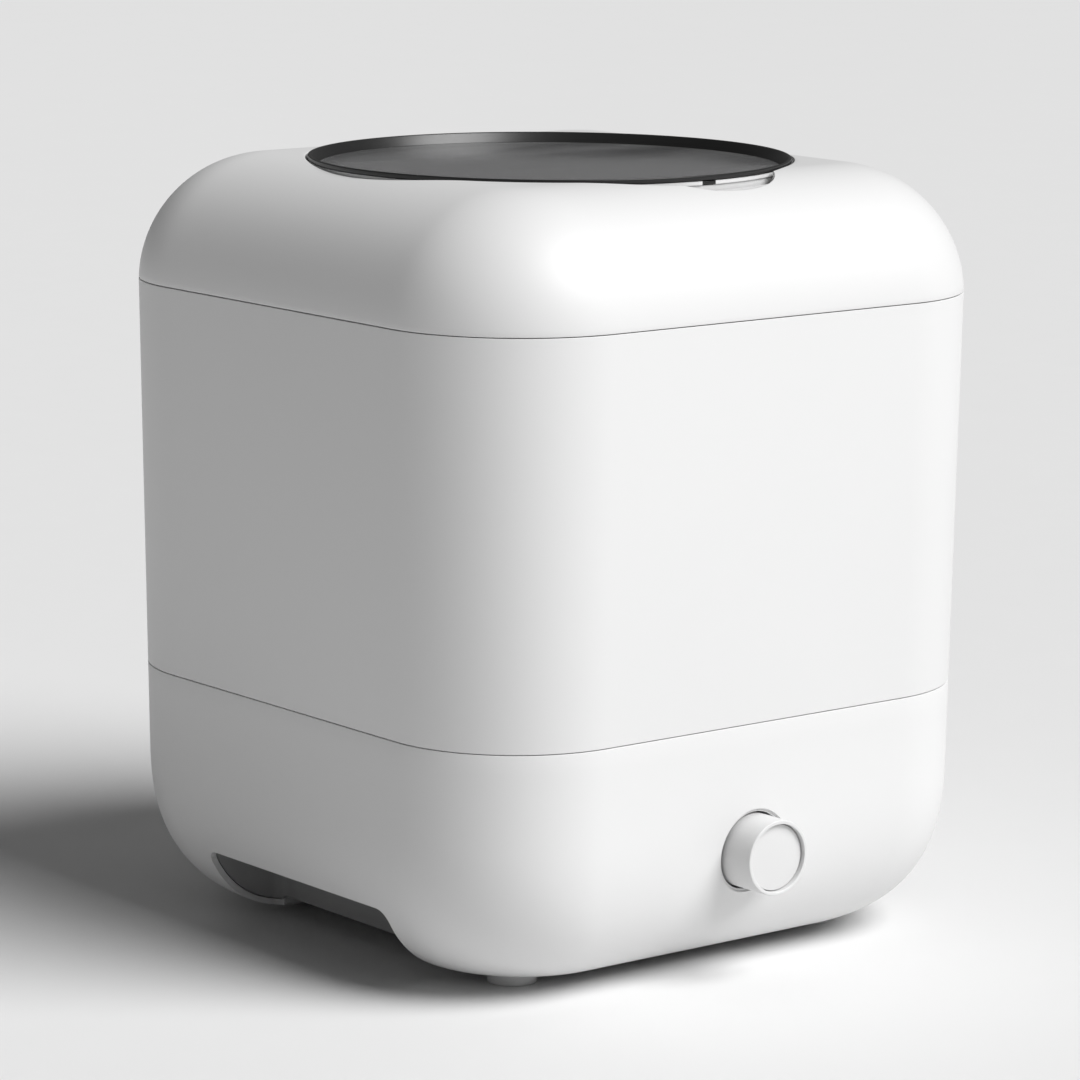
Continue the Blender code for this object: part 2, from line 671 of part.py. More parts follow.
def build_pulsator():
    """The pulsator: a low cone on a hub, with four raised vanes."""
    bore = SHAFT_RADIUS + RUNNING_GAP
    profile = [
        (2.5 * MM, 145.5 * MM),
        (11 * MM, 145.5 * MM),
        (16 * MM, 142.5 * MM),
        (32 * MM, 136.5 * MM),
        (56 * MM, 132.5 * MM),
        (76 * MM, 131.5 * MM),
        (78 * MM, 130.5 * MM),
        (78 * MM, 128.5 * MM),
        (9 * MM, 128.5 * MM),
        (9 * MM, 127.2 * MM),
        (bore, 127.2 * MM),
        (bore, 140 * MM),
        (2.5 * MM, 140 * MM),
    ]
    pulsator = turned("pulsator", profile, MEDIUM_TURN)
    vane_outline = [
        (12 * MM, 130 * MM),
        (72 * MM, 130 * MM),
        (72 * MM, 136 * MM),
        (58 * MM, 142 * MM),
        (34 * MM, 147 * MM),
        (20 * MM, 148 * MM),
        (12 * MM, 144 * MM),
    ]
    width = 7 * MM
    for i in range(4):
        turn = Matrix.Rotation(math.pi / 2 * i, 4, "Z")
        placing = turn @ FRONT
        at = turn @ Vector((0, width / 2, 0))
        vane = extruded(f"vane_{i + 1}", vane_outline, width, placing, at)
        combine(pulsator, as_cutter(vane), "UNION")
    return finish(pulsator, TUB_PLASTIC)


def build_pulsator_cap():
    """The snap-on cap over the pulsator's screw."""
    profile = [
        (0, 152 * MM),
        (5 * MM, 151.4 * MM),
        (9 * MM, 148.8 * MM),
        (9 * MM, 145.8 * MM),
        (6.5 * MM, 145.8 * MM),
        (6.5 * MM, 148.6 * MM),
        (0, 149.4 * MM),
    ]
    return finish(turned("pulsator_cap", profile, 24), TUB_PLASTIC)


def pulley_rim(radius):
    """The grooved outer side of a pulley, from top to bottom."""
    flange = radius + 1.5 * MM
    heights = [(flange, 6), (flange, 4), (radius, 3), (radius, -3), (flange, -4), (flange, -6)]
    return [(r, PULLEY_MID_Z + h * MM) for r, h in heights]


def build_driven_pulley():
    bore, hub, rim = SHAFT_RADIUS + RUNNING_GAP, 9 * MM, PULLEY_RADIUS - 6 * MM
    top, bottom = PULLEY_MID_Z + 6 * MM, PULLEY_MID_Z - 6 * MM
    web_top, web_bottom = PULLEY_MID_Z + 2 * MM, PULLEY_MID_Z - 2 * MM
    profile = [(bore, top), (hub, top), (hub, web_top), (rim, web_top), (rim, top)]
    profile += pulley_rim(PULLEY_RADIUS)
    profile += [(rim, bottom), (rim, web_bottom), (hub, web_bottom), (hub, bottom), (bore, bottom)]
    return finish(turned("driven_pulley", profile, MEDIUM_TURN), ZINC)


def build_motor_rotor():
    """The motor's shaft and the small pulley on it, at their own axis."""
    shaft_radius = 3 * MM
    shaft = turned(
        "motor_shaft",
        [(0, 99.5 * MM), (shaft_radius, 99.5 * MM), (shaft_radius, 60 * MM), (0, 60 * MM)],
        12,
        at=(0, MOTOR_Y, 0),
    )
    bore = shaft_radius + RUNNING_GAP
    top, bottom = PULLEY_MID_Z + 6 * MM, PULLEY_MID_Z - 6 * MM
    profile = [(bore, top)] + pulley_rim(MOTOR_PULLEY_RADIUS) + [(bore, bottom)]
    pulley = turned("motor_pulley", profile, SMALL_TURN, at=(0, MOTOR_Y, 0))
    return finish(shaft, STEEL), finish(pulley, ZINC)


def belt_outline(extra, steps=10):
    """The line of an open belt round both pulleys, at extra beyond their grooves."""
    large, small = PULLEY_RADIUS + extra, MOTOR_PULLEY_RADIUS + extra
    lean = math.asin((large - small) / MOTOR_Y)
    points = []
    for i in range(2 * steps + 1):
        angle = math.pi - lean + (math.pi + 2 * lean) * i / (2 * steps)
        points.append((large * math.cos(angle), large * math.sin(angle)))
    for i in range(steps + 1):
        angle = lean + (math.pi - 2 * lean) * i / steps
        points.append((small * math.cos(angle), MOTOR_Y + small * math.sin(angle)))
    return points


def build_belt():
    outlines = [belt_outline(0.3 * MM + BELT_THICKNESS), belt_outline(0.3 * MM)]
    bottom, top = PULLEY_MID_Z - BELT_HALF_HEIGHT, PULLEY_MID_Z + BELT_HALF_HEIGHT
    return finish(flat_plate("drive_belt", outlines, bottom, top), BELT_BLACK)


def build_motor():
    """The motor's can, with a blind bore for its shaft and two screw holes in its lower end."""
    profile = [
        (0, MOTOR_TOP_Z),
        (MOTOR_RADIUS - 2 * MM, MOTOR_TOP_Z),
        (MOTOR_RADIUS, MOTOR_TOP_Z - 2 * MM),
        (MOTOR_RADIUS, MOTOR_BOTTOM_Z + 2 * MM),
        (MOTOR_RADIUS - 2 * MM, MOTOR_BOTTOM_Z),
        (3.4 * MM, MOTOR_BOTTOM_Z),
        (3.4 * MM, 100 * MM),
        (0, 100 * MM),
    ]
    motor = turned("motor_body", profile, MEDIUM_TURN, at=(0, MOTOR_Y, 0))
    for i, side in enumerate((-1, 1)):
        start = (side * MOTOR_SCREW_X, MOTOR_Y, MOTOR_BOTTOM_Z - 5 * MM)
        combine(motor, as_cutter(rod(f"motor_hole_{i + 1}", 1.8 * MM, start, 12 * MM, steps=8)))
    return finish(motor, STEEL)


def build_motor_bracket():
    """The plate under the motor, hung from the deck by two posts."""
    bottom, top = MOTOR_BOTTOM_Z - 3 * MM, MOTOR_BOTTOM_Z - 0.4 * MM
    low = (-43 * MM, MOTOR_Y - 22 * MM, bottom)
    bracket = block("motor_bracket", low, (43 * MM, MOTOR_Y + 22 * MM, top))
    for i, side in enumerate((-1, 1)):
        start = (side * BRACKET_POST_X, MOTOR_Y, bottom + MM)
        post = rod(f"bracket_post_{i + 1}", 3.5 * MM, start, DECK_BOTTOM_Z - bottom - 1.3 * MM)
        combine(bracket, as_cutter(post), "UNION")
        hole_start = (side * MOTOR_SCREW_X, MOTOR_Y, bottom - 5 * MM)
        hole = rod(f"bracket_hole_{i + 1}", 1.8 * MM, hole_start, 12 * MM, steps=8)
        combine(bracket, as_cutter(hole))
    shaft_hole = rod("bracket_shaft_hole", 9 * MM, (0, MOTOR_Y, bottom - 5 * MM), 12 * MM)
    combine(bracket, as_cutter(shaft_hole))
    return finish(bracket, STEEL)


# ---------------------------------------------------------------- lid


def build_lid_frame():
    """The black rim of the lid: a thin wall that stands over a ledge for the window."""
    profile = [
        (LID_RADIUS - 0.3 * MM, LID_TOP_Z),
        (LID_RADIUS, LID_TOP_Z - 0.3 * MM),
        (LID_RADIUS, LID_BAND_Z),
        (LID_RADIUS - 2.3 * MM, LID_BAND_Z),
        (LID_RADIUS - 2.3 * MM, LID_LEDGE_Z),
        (NECK_RADIUS + 0.4 * MM, LID_LEDGE_Z),
        (NECK_RADIUS + 0.4 * MM, LID_LEDGE_Z + 1.2 * MM),
        (WINDOW_RADIUS + 0.4 * MM, LID_LEDGE_Z + 1.2 * MM),
        (WINDOW_RADIUS + 0.4 * MM, WINDOW_TOP_Z),
        (LID_RADIUS - 1.1 * MM, LID_TOP_Z),
    ]
    return finish(turned("lid_frame", profile, LARGE_TURN), BLACK_PLASTIC)


def build_lid_window():
    bottom = LID_LEDGE_Z + 1.5 * MM
    profile = [(0, WINDOW_TOP_Z), (WINDOW_RADIUS, WINDOW_TOP_Z), (WINDOW_RADIUS, bottom), (0, bottom)]
    return finish(turned("lid_window", profile, LARGE_TURN), TINTED_GLASS)


def build_lid_skirt():
    """The white ring under the lid's rim, with the hinge knuckle at its rear."""
    top = LID_BAND_Z - 0.3 * MM
    step_z, bottom = top - 1.8 * MM, top - 5.3 * MM
    outer, stepped, inner = LID_RADIUS - 0.5 * MM, LID_RADIUS - 1.2 * MM, LID_RADIUS - 2.0 * MM
    profile = [(inner, top), (outer, top), (outer, step_z)]
    profile += [(stepped, step_z), (stepped, bottom), (inner, bottom)]
    skirt = turned("lid_skirt", profile, LARGE_TURN)
    arm_low = (-KNUCKLE_HALF_LENGTH, LID_RADIUS - 6 * MM, HINGE_Z - 1.2 * MM)
    arm = block("hinge_arm", arm_low, (KNUCKLE_HALF_LENGTH, HINGE_Y, HINGE_Z + 3 * MM))
    frame_space = rod("frame_space", LID_RADIUS - 2.0 * MM, (0, 0, 320 * MM), 60 * MM, steps=LARGE_TURN)
    combine(arm, as_cutter(frame_space))
    combine(skirt, as_cutter(arm), "UNION")
    start = (-KNUCKLE_HALF_LENGTH, HINGE_Y, HINGE_Z)
    knuckle = rod("hinge_knuckle", KNUCKLE_RADIUS, start, 2 * KNUCKLE_HALF_LENGTH, SIDE)
    combine(skirt, as_cutter(knuckle), "UNION")
    bore = rod("knuckle_bore", HINGE_PIN_RADIUS + 0.1 * MM, (-40 * MM, HINGE_Y, HINGE_Z), 80 * MM, SIDE)
    combine(skirt, as_cutter(bore))
    slot_half = CATCH_HALF + 0.3 * MM
    slot_low = (CATCH_X - slot_half, -110 * MM, step_z - 0.2 * MM)
    slot = block("catch_slot", slot_low, (CATCH_X + slot_half, -100 * MM, top + 2 * MM))
    combine(skirt, as_cutter(slot))
    return finish(skirt, WHITE_PLASTIC)


def build_hinge_pin():
    start = (-HINGE_PIN_REACH, HINGE_Y, HINGE_Z)
    pin = rod("lid_hinge_pin", HINGE_PIN_RADIUS - 0.1 * MM, start, 2 * HINGE_PIN_REACH, SIDE)
    return finish(pin, STEEL)


def build_lid_catch():
    """The small dark catch in a slot of the skirt, under the rim's front edge."""
    low = (CATCH_X - CATCH_HALF, -LID_RADIUS + 0.6 * MM, LID_BAND_Z - 2 * MM)
    high = (CATCH_X + CATCH_HALF, -LID_RADIUS + 1.6 * MM, LID_BAND_Z - 0.5 * MM)
    return finish(block("lid_catch", low, high), BLACK_PLASTIC)


# ---------------------------------------------------------------- control knob


def build_knob():
    """The knob: a round cup for the button, with a stem that turns the encoder."""
    recess, back = 6 * MM, 24 * MM
    profile = [
        (0, -recess),
        (BUTTON_RADIUS + 0.4 * MM, -recess),
        (BUTTON_RADIUS + 0.4 * MM, 0),
        (KNOB_RADIUS - 0.5 * MM, 0),
        (KNOB_RADIUS, -0.5 * MM),
        (KNOB_RADIUS, -back),
        (3 * MM, -back),
        (3 * MM, -back - 12 * MM),
        (0, -back - 12 * MM),
    ]
    return finish(turned("knob", profile, MEDIUM_TURN, FRONT, (0, KNOB_FACE_Y, KNOB_Z)), WHITE_PLASTIC)


def build_button():
    """The push button in the knob's face."""
    face, back = 2 * MM, 4.3 * MM
    profile = [(0, -face), (BUTTON_RADIUS, -face), (BUTTON_RADIUS, -back), (0, -back)]
    button = turned("knob_button", profile, MEDIUM_TURN, FRONT, (0, KNOB_FACE_Y, KNOB_Z))
    return finish(button, WHITE_PLASTIC)


def build_control_carrier():
    """The plate behind the knob's well, with two side rails that hold the circuit board."""
    front = KNOB_BOSS_END_Y + 0.3 * MM
    low, high = KNOB_Z - 25 * MM, KNOB_Z + 25 * MM
    carrier = block("control_carrier", (-37 * MM, front, low), (37 * MM, front + 2 * MM, high))
    for word, side in (("left", -1), ("right", 1)):
        inner, outer = sorted((side * 34.5 * MM, side * 37 * MM))
        rail = block("board_rail_" + word, (inner, front + MM, low), (outer, front + 20 * MM, high))
        combine(carrier, as_cutter(rail), "UNION")
    combine(carrier, as_cutter(rod("stem_hole", 4.5 * MM, (0, -120 * MM, KNOB_Z), 20 * MM, FRONT)))
    return finish(carrier, WHITE_PLASTIC)


def build_encoder():
    low = (-7 * MM, -131.3 * MM, KNOB_Z - 7 * MM)
    encoder = block("encoder", low, (7 * MM, -119.4 * MM, KNOB_Z + 7 * MM))
    bore = rod("encoder_bore", 3.4 * MM, (0, -124.8 * MM, KNOB_Z), 20 * MM, FRONT)
    combine(encoder, as_cutter(bore))
    return finish(encoder, GREY_PLASTIC)


def build_control_board():
    low = (-34 * MM, -119 * MM, KNOB_Z - 24 * MM)
    board = block("control_board", low, (34 * MM, -117.4 * MM, KNOB_Z + 24 * MM))
    return finish(board, BOARD_GREEN)


# ---------------------------------------------------------------- rear fittings and wiring


def build_power_inlet():
    """The round low-voltage inlet at the rear, open to a plug."""
    flange_y = half_width_at(INLET_Z) + 0.6 * MM
    profile = [
        (0, -10 * MM),
        (4 * MM, -10 * MM),
        (4 * MM, 1.5 * MM),
        (9.5 * MM, 1.5 * MM),
        (9.5 * MM, 0),
        (7 * MM, 0),
        (7 * MM, -15 * MM),
        (0, -15 * MM),
    ]
    return finish(turned("power_inlet", profile, 24, REAR, (INLET_X, flange_y, INLET_Z)), BLACK_PLASTIC)


def build_drain_pipe():
    """The bent pipe from the tub's floor to the rear spigot, an open tube."""
    bend = 26 * MM
    points = [(DRAIN_X, DRAIN_Y, TUB_FLOOR_Z - TUB_WALL - 0.5 * MM)]
    for step in range(7):
        angle = math.pi / 2 * step / 6
        y = DRAIN_Y + bend * (1 - math.cos(angle))
        z = DRAIN_Z + bend * (1 - math.sin(angle))
        points.append((DRAIN_X, y, z))
    points.append((DRAIN_X, 128 * MM, DRAIN_Z))
    pipe = wire("drain_pipe", points, DRAIN_RADIUS)
    pipe.data.use_fill_caps = False
    thickness = pipe.modifiers.new("wall", "SOLIDIFY")
    thickness.thickness = 1.8 * MM
    thickness.offset = -1
    return finish(pipe, GREY_PLASTIC)


def build_drain_spigot():
    """The outlet tube through the rear wall, with a flange inside it."""
    inner = 6.5 * MM
    profile = [
        (inner, 157 * MM),
        (DRAIN_RADIUS, 157 * MM),
        (DRAIN_RADIUS, 132.4 * MM),
        (12 * MM, 132.4 * MM),
        (12 * MM, 129.8 * MM),
        (DRAIN_RADIUS, 129.8 * MM),
        (DRAIN_RADIUS, 128.4 * MM),
        (inner, 128.4 * MM),
    ]
    return finish(turned("drain_spigot", profile, 24, REAR, (DRAIN_X, 0, DRAIN_Z)), WHITE_PLASTIC)


def build_drain_cap():
    """The rubber cap that pulls off the spigot."""
    inner, outer = DRAIN_RADIUS + 0.3 * MM, DRAIN_RADIUS + 3 * MM
    profile = [
        (0, DRAIN_END_Y),
        (outer - MM, DRAIN_END_Y),
        (outer, DRAIN_END_Y - MM),
        (outer, 147 * MM),
        (inner, 147 * MM),
        (inner, 157.4 * MM),
        (0, 157.4 * MM),
    ]
    return finish(turned("drain_cap", profile, 24, REAR, (DRAIN_X, 0, DRAIN_Z)), RUBBER)


def build_leads():
    """Two insulated leads inside the casing, from the motor and the inlet to the circuit board."""
    motor_points = [(21.4, 44.6, 100), (40, 30, 104), (56, 0, 105), (52, -35, 103)]
    motor_points += [(34, -74, 94), (20, -104, 72), (18, -115, 66)]
    inlet_points = [(70, 131.6, 88), (74, 105, 94), (84, 40, 100), (84, -30, 100)]
    inlet_points += [(66, -80, 88), (38, -106, 60), (26, -115, 50)]
    for name, points in (("motor_lead", motor_points), ("power_lead", inlet_points)):
        route = smooth_route([Vector(p) * MM for p in points], 18 * MM)
        finish(wire(name, route, 1.6 * MM, 0), BELT_BLACK)


# ---------------------------------------------------------------- assembly


def build_casing():
    build_top_cover()
    build_body_shell()
    build_base_shell()
    build_base_pan()
    for side, word in ((-1, "left"), (1, "right")):
        build_grip_liner(side, word)
    for name, x, y in foot_places():
        build_foot(name, x, y)
    for i, (x, y) in enumerate(corner_places(BASE_SCREW_X, BASE_SCREW_Y)):
        build_screw(f"base_screw_{i + 1}", x, y, CHANNEL_TOP_Z - 0.3 * MM, 9 * MM, upwards=True)


def build_drive():
    build_deck()
    for i, (x, y) in enumerate(corner_places(POST_X, POST_Y)):
        build_screw(f"deck_screw_{i + 1}", x, y, DECK_TOP_Z + 0.3 * MM, 12 * MM)
    build_tub()
    build_bearing_housing()
    for i, (x, y) in enumerate(housing_screw_places()):
        build_screw(f"housing_screw_{i + 1}", x, y, 113.6 * MM, 5.5 * MM, upwards=True)
    bore = SHAFT_RADIUS + RUNNING_GAP
    build_ring("tub_gasket", 101 * MM, 111 * MM, TUB_TOP_Z + 0.3 * MM, 330.2 * MM, LARGE_TURN, RUBBER)
    build_ring("shaft_seal", bore, 11.3 * MM, 116.8 * MM, 121.8 * MM, SMALL_TURN, RUBBER)
    build_ring("upper_bearing", bore, 11.3 * MM, 106.4 * MM, 114.6 * MM, SMALL_TURN, STEEL)
    build_ring("lower_bearing", bore, 11.3 * MM, 82.4 * MM, 91.6 * MM, SMALL_TURN, STEEL)
    build_shaft()
    build_pulsator()
    build_screw("pulsator_screw", 0, 0, 145.8 * MM, 13 * MM, head=(5 * MM, 2.2 * MM), shank=2 * MM)
    build_pulsator_cap()
    build_driven_pulley()
    build_ring("pulley_nut", bore, 8 * MM, 58.5 * MM, 61.6 * MM, SMALL_TURN, STEEL)
    build_belt()
    build_motor_rotor()
    build_motor()
    build_motor_bracket()
    for i, side in enumerate((-1, 1)):
        seat = MOTOR_BOTTOM_Z - 3.3 * MM
        build_screw(f"motor_screw_{i + 1}", side * MOTOR_SCREW_X, MOTOR_Y, seat, 8 * MM, upwards=True)


def build_lid():
    build_lid_frame()
    build_lid_window()
    build_lid_skirt()
    gasket_bottom, gasket_top = SEAT_FLOOR_Z + 0.4 * MM, LID_LEDGE_Z - 0.3 * MM
    build_ring("lid_gasket", 98.5 * MM, 104 * MM, gasket_bottom, gasket_top, LARGE_TURN, RUBBER)
    build_hinge_pin()
    build_lid_catch()


def build_controls():
    build_knob()
    build_button()
    build_control_carrier()
    build_encoder()
    build_control_board()


def build_rear():
    build_power_inlet()
    build_drain_pipe()
    build_drain_spigot()
    build_drain_cap()
    build_leads()


clear_scene()
parts = new_collection("portable_mini_washer")
cutters = new_collection("cutters")
build_casing()
build_drive()
build_lid()
build_controls()
build_rear()
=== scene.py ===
import json
import math

import bmesh
import bpy
import numpy as np
from mathutils import Matrix, Vector
from mathutils.bvhtree import BVHTree
from mathutils.interpolate import poly_3d_calc


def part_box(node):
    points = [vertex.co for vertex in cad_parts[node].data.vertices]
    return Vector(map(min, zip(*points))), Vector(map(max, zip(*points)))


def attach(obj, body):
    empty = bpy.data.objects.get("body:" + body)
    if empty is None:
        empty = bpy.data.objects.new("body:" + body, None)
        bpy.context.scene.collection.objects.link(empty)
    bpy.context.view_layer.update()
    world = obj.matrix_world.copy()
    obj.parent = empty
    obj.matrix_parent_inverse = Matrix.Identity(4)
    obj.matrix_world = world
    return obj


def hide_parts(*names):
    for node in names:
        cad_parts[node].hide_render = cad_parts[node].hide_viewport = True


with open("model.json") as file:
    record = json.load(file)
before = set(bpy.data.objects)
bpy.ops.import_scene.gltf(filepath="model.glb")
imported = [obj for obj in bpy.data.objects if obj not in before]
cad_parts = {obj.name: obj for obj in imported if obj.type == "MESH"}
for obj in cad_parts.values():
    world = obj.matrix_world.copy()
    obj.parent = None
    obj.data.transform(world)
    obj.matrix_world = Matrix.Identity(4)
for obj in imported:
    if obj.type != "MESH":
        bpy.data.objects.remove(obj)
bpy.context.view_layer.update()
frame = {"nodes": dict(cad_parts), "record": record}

MM = 0.001

# The casing, in the frame's own units. Heights and widths that the frame holds are read from it.
HALF_WIDTH = 150 * MM
CORNER_RADIUS = 65.7 * MM
DRAFT = 0.0163
UPPER_SEAM_Z = 289.2 * MM
LOWER_SEAM_Z = 113.9 * MM
SEAM_HALF_GAP = 0.2 * MM
SEAM_EDGE = 0.3 * MM
WALL = 2.5 * MM
LIP_INSET = 3.3 * MM
TOP_ROUND_Z = 287.2 * MM
TOP_ROUND_WIDTH = 58.4 * MM
TOP_ROUND_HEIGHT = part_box("top_cover")[1].z - TOP_ROUND_Z
BASE_ROUND_Z = 75.6 * MM
BASE_ROUND_WIDTH = 58.9 * MM
BASE_ROUND_HEIGHT = BASE_ROUND_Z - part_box("base_shell")[0].z
BASE_ROUND_POWER = 2.52
BASE_CORNER_SHRINK = 0.4715
BASE_MIN_CORNER = 15 * MM

# The lid, its seat and its hinge
LID_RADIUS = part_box("lid_frame")[1].x
LID_TOP_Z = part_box("lid_frame")[1].z
LID_BAND_Z = LID_TOP_Z - 2.1 * MM
LID_LEDGE_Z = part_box("lid_frame")[0].z
CATCH_X = sum(corner.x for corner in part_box("lid_catch")) / 2
CATCH_SLOT_HALF = 3.8 * MM
SEAT_RADIUS = LID_RADIUS + 1.2 * MM
SEAT_FLOOR_Z = 333 * MM
SEAT_WALL = 2.5 * MM
SEAT_EDGE = 0.5 * MM
NECK_RADIUS = 96.6 * MM
NECK_WALL = 2.2 * MM
NECK_BOTTOM_Z = 318 * MM
WINDOW_TOP_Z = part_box("lid_window")[1].z
WINDOW_RADIUS = 103.4 * MM
FRAME_OPENING = 103.6 * MM
HINGE_Y = 113 * MM
HINGE_Z = sum(corner.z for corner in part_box("lid_hinge_pin")) / 2
HINGE_NOTCH_HALF = 21.2 * MM
HINGE_NOTCH_END = 118.6 * MM
HINGE_POCKET_HALF = 27 * MM
HINGE_POCKET_START = 80 * MM
HINGE_POCKET_END = 123 * MM
KNUCKLE_RADIUS = 3.6 * MM
KNUCKLE_HALF_LENGTH = 20 * MM
SCOOP_FLOOR_Z = 339.5 * MM
SCOOP_CENTRE = (12.2 * MM, -80.1 * MM)
SCOOP_RADIUS = 38.2 * MM

# Grips, feet, knob and rear fittings
GRIP_HALF_LENGTH = 66.8 * MM
GRIP_TOP_Z = 35.7 * MM
GRIP_INNER_X = 99 * MM
GRIP_ROUND = 6 * MM
LINER_WALL = 2 * MM
CHANNEL_TOP_Z = 8.6 * MM
FOOT_PLACE = 84.8 * MM
FOOT_RADIUS = 10.9 * MM
FOOT_TOP_Z = 6.6 * MM
SERVICE_HALF = 56 * MM
KNOB_Z = 57 * MM
KNOB_FACE_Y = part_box("knob")[0].y
KNOB_RADIUS = 16.6 * MM
KNOB_HOLE_RADIUS = 17.6 * MM
KNOB_RIM_RADIUS = 18.9 * MM
KNOB_RIM_DEPTH = 1.1 * MM
KNOB_BOSS_END_Y = -134 * MM
BUTTON_RADIUS = 14.5 * MM
BUTTON_FACE_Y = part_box("knob_button")[0].y
DRAIN_X = -66 * MM
DRAIN_Z = 44 * MM
DRAIN_RADIUS = 9 * MM
INLET_X = 70 * MM
INLET_Z = 88 * MM
INLET_RADIUS = 7 * MM

# The tub and pulsator
TUB_RADIUS = 100 * MM
TUB_WALL = 2.5 * MM
TUB_FLOOR_Z = 126.5 * MM
TUB_TOP_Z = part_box("wash_tub")[1].z
PULSATOR_RADIUS = 78 * MM
PULSATOR_BASE_Z = 128.5 * MM

# The key light's heading is counted from straight in front towards +X. Angles are in degrees.
WORLD_STRENGTH = 0.12
KEY_HEADING = 24
KEY_HEIGHT = 47
KEY_STRENGTH = 3.78
KEY_SPREAD = 38

# The camera looks down by its pitch, from its azimuth, with a slight roll. Its lens is in mm.
CAMERA_PLACE = Vector((-1.2975, -1.6303, 0.5542))
CAMERA_AZIMUTH = -38.432
CAMERA_PITCH = 10.396
CAMERA_ROLL = 0.427
CAMERA_LENS = 156.45

# How finely the pieces are divided
CORNER_STEPS = 24
TURN_STEPS = 160
DOME_DIRECTIONS = 288
DOME_ROWS = 36
LID_STEPS = 256
SHARP_ANGLE = 32
OUTSIDE_ROWS = 44
INSIDE_ROWS = 24

# Heights and reaches of cutters that only have to pass clear of a piece
ABOVE_ALL_Z = 380 * MM
BELOW_ALL_Z = -30 * MM
BELOW_FEET_Z = -5 * MM
HOLE_START_Y = 120 * MM
HOLE_LENGTH = 60 * MM

FRONT = Matrix.Rotation(math.pi / 2, 4, "X")
REAR = Matrix.Rotation(-math.pi / 2, 4, "X")
SIDE = Matrix.Rotation(math.pi / 2, 4, "Y")
UPRIGHT = Matrix.Identity(4)


# ---------------------------------------------------------------- materials


def add_node(tree, kind, **settings):
    node = tree.nodes.new(kind)
    for key, value in settings.items():
        setattr(node, key, value)
    return node


def plastic(
    name, colour, roughness, grain=1400.0, grain_height=0.00002, shade=0.03, metallic=0.0
):
    """A moulded or metal surface: fine grain in the bump, slow drifts in colour and roughness."""
    material = bpy.data.materials.new(name)
    material.use_nodes = True
    tree = material.node_tree
    shader = tree.nodes["Principled BSDF"]
    shader.inputs["Metallic"].default_value = metallic
    place = add_node(tree, "ShaderNodeTexCoord")

    drift = add_node(tree, "ShaderNodeTexNoise")
    drift.inputs["Scale"].default_value = 9.0
    drift.inputs["Detail"].default_value = 3.0
    tree.links.new(place.outputs["Object"], drift.inputs["Vector"])
    tint = add_node(tree, "ShaderNodeMix", data_type="RGBA")
    tint.inputs[6].default_value = (*[c * (1 - shade) for c in colour], 1)
    tint.inputs[7].default_value = (*[min(1, c * (1 + shade)) for c in colour], 1)
    tree.links.new(drift.outputs["Fac"], tint.inputs[0])
    tree.links.new(tint.outputs[2], shader.inputs["Base Color"])

    gloss = add_node(tree, "ShaderNodeMapRange")
    gloss.inputs["To Min"].default_value = roughness * 0.9
    gloss.inputs["To Max"].default_value = min(1, roughness * 1.1)
    grain_noise = add_node(tree, "ShaderNodeTexNoise")
    grain_noise.inputs["Scale"].default_value = grain
    grain_noise.inputs["Detail"].default_value = 2.0
    tree.links.new(place.outputs["Object"], grain_noise.inputs["Vector"])
    tree.links.new(grain_noise.outputs["Fac"], gloss.inputs["Value"])
    tree.links.new(gloss.outputs["Result"], shader.inputs["Roughness"])

    bump = add_node(tree, "ShaderNodeBump")
    bump.inputs["Strength"].default_value = 0.35
    bump.inputs["Distance"].default_value = grain_height
    tree.links.new(grain_noise.outputs["Fac"], bump.inputs["Height"])
    tree.links.new(bump.outputs["Normal"], shader.inputs["Normal"])
    return material


def brushed_metal(name, colour, roughness):
    """Brushed metal: long fine scratches along one way, in roughness and bump."""
    material = plastic(name, colour, roughness, metallic=1.0, shade=0.06)
    tree = material.node_tree
    place = tree.nodes["Texture Coordinate"]
    stretch = add_node(tree, "ShaderNodeMapping")
    stretch.inputs["Scale"].default_value = (1.0, 30.0, 30.0)
    tree.links.new(place.outputs["Object"], stretch.inputs["Vector"])
    for node in tree.nodes:
        if node.bl_idname == "ShaderNodeTexNoise" and node.inputs["Scale"].default_value > 100:
            node.inputs["Scale"].default_value = 60.0
            tree.links.new(stretch.outputs["Vector"], node.inputs["Vector"])
    return material


